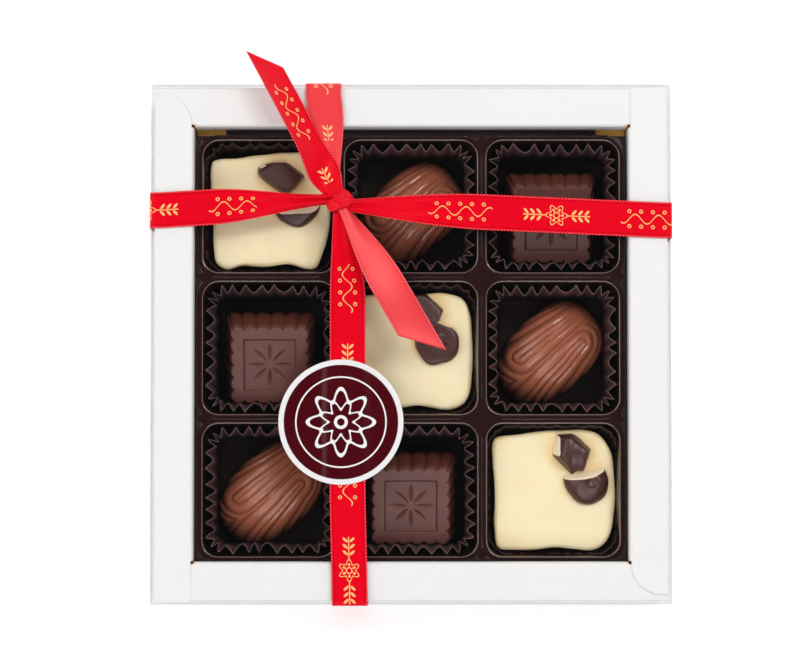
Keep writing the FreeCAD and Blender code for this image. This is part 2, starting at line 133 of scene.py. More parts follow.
def gridMesh(name, grids, closed):
    # joins grids of points (rows, columns, 3) into one mesh; rows run inwards or down and columns
    # counterclockwise where the face looks up. uv and mark are values on the same grid
    parts = {"points": [], "uv": [], "mark": [], "quads": []}
    start = 0
    for grid in grids:
        rows, columns = grid["points"].shape[:2]
        index = start + np.arange(rows * columns).reshape(rows, columns)
        corners = [index[:-1, :-1], index[:-1, 1:], index[1:, 1:], index[1:, :-1]]
        parts["quads"].append(np.stack(corners, -1).reshape(-1, 4))
        parts["points"].append(grid["points"].reshape(-1, 3))
        parts["uv"].append(np.broadcast_to(grid.get("uv", 0.0), (rows, columns, 2)).reshape(-1, 2))
        parts["mark"].append(np.broadcast_to(grid.get("mark", 0.0), (rows, columns)).ravel())
        start += rows * columns
    points, uv, mark, quads = (np.concatenate(part) for part in parts.values())
    mesh = bpy.data.meshes.new(name)
    mesh.from_pydata(points.tolist(), [], quads.tolist())
    mesh.uv_layers.new(name="cut").data.foreach_set("uv", uv[quads.ravel()].astype(np.float32).ravel())
    mesh.attributes.new("mark", "FLOAT", "POINT").data.foreach_set("value", mark.astype(np.float32))
    work = bmesh.new()
    work.from_mesh(mesh)
    bmesh.ops.remove_doubles(work, verts=work.verts, dist=0.002 * mm)  # closes seams and poles
    if closed:
        bmesh.ops.recalc_face_normals(work, faces=work.faces)
    work.to_mesh(mesh)
    work.free()
    mesh.polygons.foreach_set("use_smooth", np.ones(len(mesh.polygons), bool))
    mesh.update()
    return mesh


def addPiece(name, grids, material, body, node, thickness=0.0, offset=-1.0):
    # a closed shape, or a sheet made solid to one side (offset -1) or to both (offset 0)
    mesh = gridMesh(name, grids, closed=not thickness)
    mesh.materials.append(material)
    piece = bpy.data.objects.new(name, mesh)
    bpy.context.scene.collection.objects.link(piece)
    if thickness:
        wall = piece.modifiers.new("thickness", "SOLIDIFY")
        wall.thickness, wall.offset = thickness, offset
    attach(piece, body)
    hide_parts(node)
    return piece


def mathsOperator(operation, swapped=False):
    # an operator's method: a Math node on the wire and the other value, in either order
    def method(wire, other):
        values = (other, wire) if swapped else (wire, other)
        return wire.node("Math", {"operation": operation}, dict(enumerate(values)))

    return method


class Wire:
    # one socket of a node tree; arithmetic on wires adds Math nodes
    def __init__(self, tree, socket=None):
        self.tree, self.socket = tree, socket

    def node(self, kind, settings=None, inputs=None, output=0):
        # any node: its type, its settings, then values or wires for its sockets
        made = self.tree.nodes.new("ShaderNode" + kind)
        for key, value in (settings or {}).items():
            setattr(made, key, value)
        for key, value in (inputs or {}).items():
            if isinstance(value, Wire):
                self.tree.links.new(value.socket, made.inputs[key])
            else:
                made.inputs[key].default_value = value
        return Wire(self.tree, made.outputs[output] if made.outputs else None)

    __add__ = __radd__ = mathsOperator("ADD")
    __mul__ = __rmul__ = mathsOperator("MULTIPLY")
    __sub__, __rsub__ = mathsOperator("SUBTRACT"), mathsOperator("SUBTRACT", swapped=True)
    __truediv__, __rtruediv__ = mathsOperator("DIVIDE"), mathsOperator("DIVIDE", swapped=True)
    __pow__, __rpow__ = mathsOperator("POWER"), mathsOperator("POWER", swapped=True)
    __mod__, __rmod__ = mathsOperator("FLOORED_MODULO"), mathsOperator("FLOORED_MODULO", swapped=True)
    __lt__, __gt__ = mathsOperator("LESS_THAN"), mathsOperator("GREATER_THAN")

    def maths(self, operation, *others):
        return self.node("Math", {"operation": operation}, dict(enumerate((self, *others))))

    def __abs__(self):
        return self.maths("ABSOLUTE")

    def clamped(self):
        return self.node("Clamp", None, {0: self})

    def ramp(self, low, high):
        # 0 at low to 1 at high, smooth
        return self.node("MapRange", {"interpolation_type": "SMOOTHSTEP"}, {0: self, 1: low, 2: high})

    def mix(self, first, second):
        # the first colour where this wire is 0, the second where it is 1; three numbers are a colour
        # as it shows on screen
        first, second = (linear(c) if isinstance(c, tuple) and len(c) == 3 else c for c in (first, second))
        return self.node("Mix", {"data_type": "RGBA"}, {0: self, 6: first, 7: second}, 2)

    def bump(self, strength, distance):
        return self.node("Bump", None, {"Height": self, "Strength": strength, "Distance": distance}, "Normal")

    def split(self):
        parts = self.node("SeparateXYZ", None, {0: self})
        return [Wire(self.tree, socket) for socket in parts.socket.node.outputs]

    def place(self):
        return self.node("TexCoord", output="Object")

    def cut(self):
        return self.node("UVMap", {"uv_map": "cut"})

    def mark(self):
        return self.node("Attribute", {"attribute_name": "mark"}, output="Fac")

    def noise(self, scale, detail=2.0):
        return self.node("TexNoise", None, {"Vector": self.place(), "Scale": scale, "Detail": detail})


def linear(colour, lighter=0):
    # a colour as it shows on screen, 0 to 255, as the shader's own values; lighter is added to each
    shares = (np.array(colour) + lighter) / 255
    values = np.where(shares <= 0.04045, shares / 12.92, ((shares + 0.055) / 1.055) ** 2.4)
    return (*values.tolist(), 1.0)


def makeMaterial(name, surface):
    # surface(start) adds the nodes and gives the wire of the shader
    material = bpy.data.materials.new(name)
    material.use_nodes = True
    material.node_tree.nodes.clear()
    start = Wire(material.node_tree)
    start.node("OutputMaterial", None, {"Surface": surface(start)})
    return material


def makeFinish(name, fixed, varying):
    # a Principled material: fixed numbers on its sockets, and the wires that varying(start) gives
    return makeMaterial(name, lambda start: start.node("BsdfPrincipled", None, {**fixed, **varying(start)}))


def grained(grain, look):
    # roughness and a fine bump from one grain: rough is the least and what the grain adds,
    # bump its strength and depth
    least, more = look["rough"]
    return {"Roughness": least + more * grain, "Normal": grain.bump(*look["bump"])}


def paint(material, *names):
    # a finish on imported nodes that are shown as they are
    for name in names:
        nodes[name].data.materials.clear()
        nodes[name].data.materials.append(material)


# the nine cells: number, kind of chocolate and middle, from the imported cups

cells = []
for number in range(1, 10):
    kind = next(kind for kind in ("white_square", "milk_oval", "dark_square") if f"{kind}_{number}" in nodes)
    cells.append({"number": number, "kind": kind, "middle": middleOf(f"paper_cup_{number}")[:2]})


def cellsWith(kind):
    return [cell for cell in cells if cell["kind"] == kind]


def inCell(cell, points, x, y, z):
    # points moved from the origin to a place given from the middle of a cell
    return points + np.array([*(cell["middle"] + (x, y)), z])


def addToCell(cell, name, grids, material, node):
    # a piece that rides with the chocolate of its cell
    number = cell["number"]
    addPiece(f"{name}{number}", grids, material, f"chocolate_{number}", f"{node}_{number}")


# white coated board and its gold reverse

card = {"colour": (234, 233, 232), "cloud": 60, "grain": 2600, "rough": (0.42, 0.1), "bump": (0.06, 0.1 * mm),
        "seam": 0.9 * mm, "seamDepth": 0.3 * mm, "seamShare": 0.5}
tab = {"gold": (250, 186, 76), "deepGold": (232, 166, 58), "grain": 900, "rough": (0.3, 0.15),
       "bump": (0.15, 0.1 * mm)}


def cardFinish(start):
    # the gold reverse shows a little in the seams at the opening's corners
    x, y, z = start.place().split()
    foldX, _, top = boxOf("rim_left")[1]  # the left rim's fold is where the opening starts
    near, far = abs(foldX) - card["seam"], abs(foldX) + card["seam"]
    corner = (abs(x) > near) * (abs(y) > near) * (abs(x) < far) * (abs(y) < far)
    seam = corner * (z < top - card["seamDepth"])
    paper = (start.noise(card["cloud"]) * 0.6 + 0.2).mix(card["colour"], linear(card["colour"], -3))
    return {"Base Color": (seam * card["seamShare"]).mix(paper, tab["gold"]),
            **grained(start.noise(card["grain"]), card)}


def tabFinish(start):
    grain = start.noise(tab["grain"], 3.0)
    return {"Base Color": grain.mix(tab["deepGold"], tab["gold"]), **grained(grain, tab)}


paint(makeFinish("whiteBoard", {"Specular IOR Level": 0.35}, cardFinish),
      "card_shell", "rim_left", "rim_right", "rim_near", "rim_far")
paint(makeFinish("goldBoard", {"Metallic": 0.15}, tabFinish), "corner_tab_left", "corner_tab_right")
print("card box: finishes on the shell, four rims and two corner tabs")


# clear lid: nearly all see-through, with a faint grey line painted along its folds and its walls made a
# little less clear, as painted reflection of the bent plastic

lid = {"haze": 0.001, "gloss": 0.25, "bend": 1.25, "edge": 0.30, "edgeWidth": 1.2 * mm, "wall": 0.10,
       "tint": (150, 152, 156), "rough": 0.06}


def clearSheet(start):
    side, _, top = boxOf("clear_lid")[1]
    x, y, z = start.place().split()
    inset = (abs(x).maths("MAXIMUM", abs(y)) - (side - lid["edgeWidth"])) / lid["edgeWidth"]
    # fold and wall paint extra grey cover, a painted reflection along the folds and on the walls
    fold = inset.ramp(0.0, 1.0) * (z > top - 2 * lid["edgeWidth"])
    wall = (z < top - lid["edgeWidth"]) * lid["wall"]
    gloss = start.node("Fresnel", None, {"IOR": lid["bend"]})
    cover = (lid["haze"] + gloss * lid["gloss"] + fold * lid["edge"] + wall).clamped()
    sheet = start.node("BsdfPrincipled", None, {"Base Color": linear(lid["tint"]), "Roughness": lid["rough"]})
    return start.node("MixShader", None, {0: cover, 1: start.node("BsdfTransparent"), 2: sheet})


paint(makeMaterial("clearSheet", clearSheet), "clear_lid")
print("clear lid: see-through sheet")


# formed insert tray: nine tapered pockets with rolled lips, and a lower ledge along the far side

tray = {"mouth": 37.2 * mm, "floor": 30.8 * mm, "mouthRadius": 4.5 * mm, "floorRadius": 3.5 * mm,
        "lip": 0.45 * mm, "bead": 0.03 * mm, "beadWidth": 0.6 * mm, "foot": 0.6 * mm, "film": 0.5 * mm,
        "farRim": 1.3 * mm, "ledgeEnd": 8.6 * mm, "ledgeDrop": 3.0 * mm, "ledgeRoll": 0.5 * mm, "perSide": 36,
        "colour": (34, 13, 11), "lipHighlight": (150, 125, 120), "lipHighlightShare": 0.5, "flow": 120, "speck": 1500,
        "rough": (0.09, 0.06), "bump": (0.05, 0.3 * mm)}


def trayFinish(start):
    flow, lip = start.noise(tray["flow"]), start.mark()
    plain = flow.mix(tray["colour"], linear(tray["colour"], 9))
    least, more = tray["rough"]
    # the paler line on the lip is a painted highlight
    return {"Base Color": (lip * tray["lipHighlightShare"]).mix(plain, tray["lipHighlight"]),
            "Coat Weight": lip,
            "Roughness": least + more * start.noise(tray["speck"]),
            "Normal": flow.bump(*tray["bump"])}


def pocketProfile(top, bottom):
    # half size and height from the flat inwards: a low bead, the lip's arc, the sloping wall, the
    # foot's arc and the floor
    halfMouth, halfFloor = tray["mouth"] / 2, tray["floor"] / 2
    lip, foot = tray["lip"], tray["foot"]
    slope = math.atan2(halfMouth - halfFloor, top - bottom)
    beadHalf = halfMouth + lip + tray["beadWidth"] * np.array([2, 1.5, 1, 0.5])
    beadZ = top + tray["bead"] * np.array([0, 0.5, 1, 0.6])
    arc = np.linspace(0, quarterTurn - slope, 7)
    lipHalf = halfMouth + lip * (1 - np.sin(arc))
    lipZ = top - lip * (1 - np.cos(arc))
    share = np.linspace(0, 1, 7)[1:-1]
    wallHalf = lipHalf[-1] + (halfFloor + foot * math.sin(slope) - lipHalf[-1]) * share
    wallZ = lipZ[-1] + (bottom + foot * (1 - math.sin(slope)) - lipZ[-1]) * share
    turn = np.linspace(slope, quarterTurn, 5)
    footHalf = halfFloor - foot * (1 - np.cos(turn)) * 0.9
    footZ = bottom + foot * (1 - np.sin(turn))
    half = np.concatenate([beadHalf, lipHalf, wallHalf, footHalf, halfFloor * np.array([0.5, 0.0])])
    return half, np.concatenate([beadZ, lipZ, wallZ, footZ, [bottom, bottom]])


def makeTray():
    # each cell is a flat with a pocket sunk in it, as rows of rounded squares inwards; the ledge
    # is a strip whose section rolls over the far edge, drops and runs out level
    low, high = boxOf("insert_tray")
    top, bottom, halfMouth = high[2], low[2] + tray["film"], tray["mouth"] / 2
    half, height = pocketProfile(top, bottom)
    fall = np.clip((top - height) / (top - bottom), 0, 1)
    radius = np.minimum(tray["mouthRadius"] + (tray["floorRadius"] - tray["mouthRadius"]) * fall
                        + np.maximum(half - halfMouth, 0), half)
    square = squareLoop(tray["perSide"])
    rings, _ = roundedLoop(square, half, radius)
    xs, ys = (sorted({round(float(cell["middle"][axis]), 6) for cell in cells}) for axis in (0, 1))
    flatFar = ys[-1] + halfMouth + tray["farRim"]
    edgesX = [low[0], *[(a + b) / 2 for a, b in zip(xs, xs[1:])], high[0]]
    edgesY = [low[1], *[(a + b) / 2 for a, b in zip(ys, ys[1:])], flatFar]
    lipRows = slice(7, 10)  # the turn of the lip, painted paler as a painted highlight and given a clear coat
    lipMark = np.zeros((len(half) + 1, 1))
    lipMark[lipRows] = 1
    grids = []
    for column, x in enumerate(xs):
        for row, y in enumerate(ys):
            lowEdge = np.array([edgesX[column], edgesY[row]])
            highEdge = np.array([edgesX[column + 1], edgesY[row + 1]])
            border = lowEdge + (square + 1) / 2 * (highEdge - lowEdge)
            plan = np.concatenate([border[None], rings + np.array([x, y])])
            grids.append({"points": raised(plan, [top, *height]), "mark": lipMark})
    reach, roll, drop = high[0] - tray["ledgeEnd"], tray["ledgeRoll"], tray["ledgeDrop"] - tray["film"]
    bend = np.linspace(0, quarterTurn, 5)
    ledgeY = flatFar + np.concatenate([roll * (np.sin(bend) - 1), roll * (1 - np.cos(bend)),
                                       [high[1] - flatFar]])
    ledgeZ = top - np.concatenate([roll * (1 - np.cos(bend)), drop - roll * (1 - np.sin(bend)), [drop]])
    ledge = together(np.linspace(reach, -reach, 9)[None, :], ledgeY[:, None], ledgeZ[:, None])
    grids.append({"points": ledge[::-1]})
    material = makeFinish("brownSheet", {"Specular IOR Level": 0.45, "Coat Roughness": 0.08}, trayFinish)
    addPiece("insertTray", grids, material, "tray", "insert_tray", tray["film"])


makeTray()
print("insert tray: nine pockets and the far ledge")


# fluted paper cups: a zigzag wall that follows the pocket, no two alike

cup = {"seed": 40, "flutes": 36, "perFlute": 12, "rows": 18, "depth": 3.0 * mm, "footDepth": 0.3 * mm,
       "flare": 3.2, "corner": 6.5 * mm, "gap": 0.25 * mm, "paper": 0.12 * mm, "rimDrop": 1.0 * mm,
       "ragged": 0.7 * mm, "lean": 0.4 * mm, "sharp": 0.9, "round": 0.6, "wander": 0.24,
       "depthShare": (0.62, 1.1),
       "pressed": 0.3 * mm, "pressedGap": 0.12 * mm, "pressedDrop": 3.2 * mm,  # beside a white square
       "pressedFar": {1: 1.6 * mm, 5: 1.2 * mm, 9: 0.5 * mm}, "pressedShade": 0.6,
       # shade is the painted shade low in the pocket, edge the painted highlight along the rim
       "colours": ((74, 51, 54), (106, 79, 83)), "edge": (134, 102, 100), "shade": (14, 8, 8),
       "sheen": (255, 215, 215), "grain": 3000, "cloud": 180, "rough": (0.62, 0.1), "gloss": 0.3,
       "bump": (0.2, 0.08 * mm)}


def cupFinish(start):
    # mark runs from 0 at the foot to 1 at the rim; the paper is painted darker towards the foot as painted
    # shade deep in the pocket, and the paler line along the rim is a painted highlight
    crepe, cloud = start.noise(cup["grain"]), start.noise(cup["cloud"])
    edge, high = start.mark().ramp(0.93, 1.0), start.mark().ramp(0.3, 1.0)
    plain = cloud.mix(*cup["colours"])
    wall = high.mix(cup["shade"], plain)
    least, more = cup["rough"]
    return {"Base Color": (edge * (0.1 + 0.6 * cloud)).mix(wall, cup["edge"]),
            "Roughness": least + more * crepe - high * cup["gloss"],
            "Normal": crepe.bump(*cup["bump"])}


def makeCup(cell, material):
    # a rounded square's edge carried up the pocket, set in by a zigzag whose depth grows towards
    # the rim by a power; a white square presses it flat and low, but for its far side
    number, pressed = cell["number"], cell["kind"] == "white_square"
    foot, top = boxOf(f"paper_cup_{number}")[0][2], boxOf("insert_tray")[1][2]
    rng = np.random.default_rng(cup["seed"] + number)
    flutes, tall = cup["flutes"], top - cup["rimDrop"] - foot
    slope = (tray["mouth"] - tray["floor"]) / 2 / (top - foot)
    square = squareLoop(flutes // 4 * cup["perFlute"], even=True)
    along = np.linspace(0, flutes, len(square))

    def perFlute(lowest, highest):
        # one seeded value for each flute, run together along the edge
        values = rng.uniform(lowest, highest, flutes)
        return np.interp(along, np.arange(flutes + 1), np.append(values, values[0]))

    phase = fullTurn * (along + perFlute(-cup["wander"], cup["wander"]))
    # depth of the wall from its outer line: pointed outside, rounder inside
    straight = 0.5 - np.arcsin(cup["sharp"] * np.cos(phase)) / (2 * math.asin(cup["sharp"]))
    zigzag = (1 - cup["round"]) * straight + cup["round"] * np.abs(np.sin(phase / 2)) ** 0.85
    depths = perFlute(*cup["depthShare"])
    ragged = perFlute(-1, 0.4) * cup["ragged"]
    lean = perFlute(0, 1) * cup["lean"]
    v = np.linspace(1, 0, cup["rows"])[:, None]
    deep, gap = np.full(len(square), cup["depth"]), cup["gap"]
    if pressed:
        far = smooth(0.6, 1.0, square[:, 1])
        deep = cup["pressed"] + (cup["pressedFar"][number] - cup["pressed"]) * far
        gap, lean = cup["pressedGap"], 0.2 * lean
        ragged = ragged - cup["pressedDrop"] * (1 - far)
    # the inner ridges stand nearly straight; the outer lines open out to the pocket towards the rim
    floorHalf = tray["floor"] / 2 - gap
    outer = floorHalf + slope * tall
    depth = cup["footDepth"] + (deep - cup["footDepth"]) * v ** cup["flare"]
    ridge = (floorHalf - cup["footDepth"]) * (1 - v) + (outer - deep) * v
    ring, out = roundedLoop(square, np.full_like(v, outer), np.full_like(v, cup["corner"]))
    wall = ring - out * (outer - ridge - depth + depth * depths * zigzag + lean * v ** 3)[..., None]
    base = foot + cup["paper"]
    wallZ = base + tall * v + ragged * v ** 2
    floor = wall[-1:] * np.array([0.85, 0.4, 0.0]).reshape(-1, 1, 1)
    height = np.concatenate([wallZ, np.full((len(floor), len(square)), base)])
    # a cup beside a white square is painted darker still and loses its rim line, as painted shade under the
    # square's overhang
    mark = np.concatenate([v * (cup["pressedShade"] if pressed else 1.0), np.zeros((len(floor), 1))])
    points = raised(np.concatenate([wall, floor]) + cell["middle"], height)
    addPiece(f"paperCup{number}", [{"points": points, "mark": mark}], material, "tray",
             f"paper_cup_{number}", cup["paper"])


cupPaper = makeFinish("cupPaper", {"Specular IOR Level": 0.2, "Specular Tint": linear(cup["sheen"])},
                      cupFinish)
for cell in cells:
    makeCup(cell, cupPaper)
print("paper cups: nine, with", cup["flutes"], "flutes each")


# dark moulded squares: scalloped sides, a sunk panel and a star of sunk rays

dark = {"base": 26.2 * mm, "top": 22.2 * mm, "height": 13.0 * mm, "corner": 1.4 * mm, "panelCorner": 0.4 * mm,
        "ribs": 6, "groove": 0.85 * mm, "edge": 0.4 * mm, "border": 3.5 * mm, "panelDepth": 0.75 * mm,
        "bevel": 0.55 * mm, "rays": 8, "rayStart": 1.1 * mm, "rayEnd": 6.3 * mm, "rayWidth": 1.3 * mm,
        "rayDepth": 0.5 * mm, "lean": math.radians(14), "shift": -1.5 * mm, "perSide": 72,
        "scallopFrom": 0.9 * mm, "scallopTo": 0.1 * mm, "sideFrom": 0.2 * mm, "sideTo": 1.2 * mm,
        # side and turn are painted light: the sides lighter and redder for the light they catch, the turn a
        # painted highlight
        "face": ((88, 44, 37), (105, 57, 49)), "side": (116, 60, 46), "turn": (170, 116, 100),
        "turnHighlightShare": 1.6, "bloom": 220, "grain": 1400, "rough": (0.40, 0.14), "bump": (0.10, 0.12 * mm)}


def darkFinish(start):
    # mark is 0 on the face and 1 on the sides; the sides are painted lighter and redder than the face for the
    # light they catch, and the paler line where the one turns into the other is a painted highlight
    side = start.mark()
    face = start.noise(dark["bloom"], 3.0).mix(*dark["face"])
    turn = side * (1 - side) * dark["turnHighlightShare"]
    return {"Base Color": turn.mix(side.mix(face, dark["side"]), dark["turn"]),
            **grained(start.noise(dark["grain"], 3.0), dark)}


def makeDark(cell, material):
    # rounded squares from the middle of the top outwards: panel, its bevel, border, rounded edge,
    # side and foot
    square = squareLoop(dark["perSide"], even=True)
    halfBase, halfTop, tall, edge = dark["base"] / 2, dark["top"] / 2, dark["height"], dark["edge"]
    panel = halfTop - dark["border"]
    arc = np.linspace(0, quarterTurn, 5)[1:]
    fall = np.linspace(0, 1, 8)[1:]
    inner = np.linspace(0, panel - dark["bevel"], 34)
    flat = np.linspace(panel + 0.3 * mm, halfTop - edge, 5)
    edgeZ = tall - edge * (1 - np.cos(arc))
    half = np.concatenate([inner, panel - dark["bevel"] * np.array([0.8, 0.5, 0.2, 0.0]), flat,
                           halfTop - edge * (1 - np.sin(arc)), halfTop + (halfBase - halfTop) * fall,
                           halfBase * np.array([0.9, 0.5, 0.0])])
    height = np.concatenate([np.full(len(inner), tall - dark["panelDepth"]),
                             tall - dark["panelDepth"] * np.array([0.96, 0.5, 0.06, 0.0]),
                             np.full(len(flat), tall), edgeZ, edgeZ[-1] * (1 - fall), np.zeros(3)])
    corner = np.where(half <= panel + 1e-9, dark["panelCorner"], dark["corner"])
    ring, out = roundedLoop(square, half, np.minimum(corner, half * 0.45 + 1e-9))
    # scallops: each side's edge swells between grooves, by the root of a sine, and fades inwards
    along = np.where(np.abs(square[:, 0]) > np.abs(square[:, 1]), square[:, 1], square[:, 0])
    lobe = 1 - np.sqrt(np.abs(np.sin(math.pi * dark["ribs"] * (along + 1) / 2)) + 1e-9)
    reach = smooth(halfTop - edge - dark["scallopFrom"], halfTop - dark["scallopTo"], half)
    reach = reach * smooth(0, 0.2, height / tall + 0.25)
    ring = ring - out * (dark["groove"] * reach[:, None] * lobe)[..., None]
    # star: leaf-shaped hollows that narrow to both ends, deepest on their middle line
    angle = np.arctan2(ring[..., 1], ring[..., 0])
    far = np.hypot(ring[..., 0], ring[..., 1])
    step = fullTurn / dark["rays"]
    off = (angle + step / 2) % step - step / 2
    t = np.clip((far * np.cos(off) - dark["rayStart"]) / (dark["rayEnd"] - dark["rayStart"]), 0, 1)
    leaf = np.abs(np.sin(math.pi * t)) ** 0.7
    hollow = np.clip(leaf - np.abs(far * np.sin(off)) / (dark["rayWidth"] / 2), 0, 1)
    onPanel = (np.arange(len(half)) < len(inner))[:, None]
    points = raised(ring, height[:, None] - dark["rayDepth"] * hollow * onPanel)
    seat = boxOf(f"dark_square_{cell['number']}")[0][2] + halfBase * math.sin(dark["lean"])
    points = inCell(cell, turned(points, dark["lean"], "x"), 0, dark["shift"], seat)
    side = (smooth(tall - dark["sideFrom"], tall - dark["sideTo"], height) * (half > panel))[:, None]
    grids = [{"points": points, "mark": side}]
    addToCell(cell, "darkSquare", grids, material, "dark_square")


darkChocolate = makeFinish("darkChocolate", {"Specular IOR Level": 0.5}, darkFinish)
for cell in cellsWith("dark_square"):
    makeDark(cell, darkChocolate)
print("dark squares: scalloped sides, sunk panel and star")


# milk moulded ovals: a dome whose ridges bend round two cores, like the grain of wood

milk = {"seed": 50, "length": 33.2 * mm, "width": 22.6 * mm, "square": 2.6, "blunt": 0.35, "fullness": 2.3,
        "rows": 56, "around": 257, "turn": math.radians(43), "shift": -0.7 * mm, "ridge": 2.1 * mm,
        "relief": 0.8 * mm, "uneven": 0.38 * mm, "fan": 0.021, "drift": 0.4 * mm, "driftLength": 15 * mm,
        "coreA": (-8.0 * mm, 4.4 * mm), "coreB": (8.0 * mm, -5.2 * mm), "calm": (9 * mm, 15 * mm),
        # groove is painted shade in the hollows between the ridges
        "colours": ((156, 88, 62), (176, 104, 79)), "groove": (92, 46, 28), "grooveShadeShare": 0.5,
        "bloom": 160, "grain": 1200, "rough": (0.15, 0.12), "bump": (0.05, 0.12 * mm)}


def milkFinish(start):
    # mark is 1 in the grooves between the ridges, which are painted darker as painted shade in the hollows
    plain = start.noise(milk["bloom"], 3.0).mix(*milk["colours"])
    return {"Base Color": (start.mark() * milk["grooveShadeShare"]).mix(plain, milk["groove"]),
            **grained(start.noise(milk["grain"], 3.0), milk)}


def makeMilk(cell, material):
    # a dome over an oval that its power draws towards a rectangle, more so at its far right end
    number, rows = cell["number"], milk["rows"]
    low, high = boxOf(f"milk_oval_{number}")
    tall = high[2] - low[2]
    a, b = milk["length"] / 2, milk["width"] / 2
    foot = [0.97, 0.5, 0.0]
    rho = np.concatenate([np.sin(np.linspace(0, quarterTurn, rows)), foot])[:, None]
    theta = np.linspace(0, fullTurn, milk["around"])[None, :]
    power = milk["square"] + milk["blunt"] * np.cos(theta)
    bulge = (np.abs(np.cos(theta)) ** power + np.abs(np.sin(theta)) ** power) ** (-1 / power)
    x, y = a * rho * np.cos(theta) * bulge, b * rho * np.sin(theta) * bulge
    dome = tall * (1 - rho[:rows] ** milk["fullness"]) ** (1 / milk["fullness"])
    z = np.concatenate([dome, np.zeros((len(foot), 1))])
    # the lines fan out towards the lower left end and wander a little
    wander = milk["drift"] * ripple(x, y, milk["seed"] + number, milk["driftLength"])
    spread = y / (1 - milk["fan"] * x / mm) + wander

    def toCore(core, heading):
        # distance to a core line that starts at the core and runs on along the oval
        ahead = np.minimum((x - core[0]) * heading, 0)
        return np.hypot(ahead, spread - core[1])

    # grain: distance to the nearer of the two cores, so lines loop round each and run between
    grain = np.minimum(toCore(milk["coreA"], 1), toCore(milk["coreB"], -1))
    grain = grain + milk["uneven"] * np.sin(fullTurn * grain / (2.7 * milk["ridge"]) + 0.9 * number)
    wave = np.abs(np.sin(math.pi * grain / milk["ridge"] + 0.35))
    calm = 1 - smooth(*milk["calm"], x + 0.35 * y)
    swell = (wave ** 0.75 - 0.6) * milk["relief"] * (0.3 + 0.7 * calm)
    top = (np.arange(len(rho)) < rows)[:, None] * smooth(0, 0.25, z / tall + 0.12)
    normal = together(x / a ** 2, y / b ** 2, z / tall ** 2 + 1e-6)
    normal /= np.linalg.norm(normal, axis=-1, keepdims=True) + 1e-12
    points = together(x, y, z) + normal * (swell * top)[..., None]
    points[..., 2] = np.maximum(points[..., 2], 0)
    points = inCell(cell, turned(points, milk["turn"]), 0, milk["shift"], low[2])
    # painted shade in the grooves, weaker where the top is calm
    mark = (1 - smooth(0.0, 0.55, wave)) * top * (0.2 + 0.8 * calm)
    grids = [{"points": points, "mark": mark}]
    addToCell(cell, "milkOval", grids, material, "milk_oval")


milkChocolate = makeFinish("milkChocolate", {"Specular IOR Level": 0.55}, milkFinish)
for cell in cellsWith("milk_oval"):
    makeMilk(cell, milkChocolate)
print("milk ovals: domes with bent ridges")


# white enrobed squares: soft pillows, each with its own outline in millimetres

white = {"seed": 70, "foot": 0.80, "footRise": 0.4 * mm, "height": 18.4 * mm, "crown": 1.3 * mm,
         "shift": -0.2 * mm, "around": 240, "waves": 0.25 * mm, "waveLength": 9 * mm, "swell": 0.55 * mm,
         "swellLength": 15 * mm, "sink": 0.25 * mm, "drape": 0.16 * mm, "drapeLength": 6 * mm,
         # the sizes round the nuts and the length of the patches along the rim set where the painted shade
         # lies; the second colour is that shade
         "nutShadeSize": (7.2, 6.2), "rimShadeLength": 20 * mm, "colours": ((250, 233, 192), (238, 202, 136)),
         "cloud": 70, "grain": 900, "rough": (0.34, 0.12), "bump": (0.05, 0.15 * mm),
         "outline": {1: ((-15.3, -15.6), (-12.1, -17.4), (-7.1, -16.3), (-1.3, -16.7), (4.6, -15.9),
                         (10.4, -17.3), (13.6, -16.4), (15.6, -11.0), (16.9, -5.8), (17.2, 0.0), (16.8, 6.0),
                         (16.0, 12.0), (13.0, 15.8), (8.0, 16.2), (2.0, 15.9), (-4.0, 15.1), (-10.0, 14.4),
                         (-15.4, 14.0), (-16.8, 12.2), (-16.7, 6.4), (-16.4, 0.0), (-16.2, -6.0),
                         (-15.9, -11.5)),
                     5: ((-15.2, -15.6), (-9.0, -16.6), (-2.5, -16.5), (3.0, -16.0), (9.0, -17.3),
                         (14.2, -16.0), (16.6, -12.4), (17.4, -7.0), (17.7, -1.6), (17.4, 4.4), (16.9, 9.9),
                         (14.9, 14.3), (10.4, 16.0), (4.0, 15.8), (-3.0, 15.7), (-9.5, 15.6), (-15.0, 15.0),
                         (-16.6, 11.0), (-16.8, 4.0), (-16.5, -4.0), (-16.4, -11.0)),
                     9: ((-15.6, -16.0), (-10.5, -16.8), (-4.5, -16.6), (1.0, -16.2), (6.0, -16.5),
                         (10.8, -16.9), (14.6, -15.0), (16.8, -11.0), (17.6, -5.5), (17.8, 0.5), (17.5, 6.0),
                         (16.5, 11.3), (13.4, 15.8), (8.5, 17.3), (3.0, 17.4), (-3.0, 17.0), (-9.0, 16.1),
                         (-15.0, 15.5), (-16.9, 13.6), (-17.0, 8.4), (-16.5, 3.0), (-16.4, -3.5),
                         (-16.5, -10.0))}}

# two broken coated nuts on each: place and size in millimetres; a break is the heading and lean of
# its plane in degrees and how far out it cuts, with the bare one last

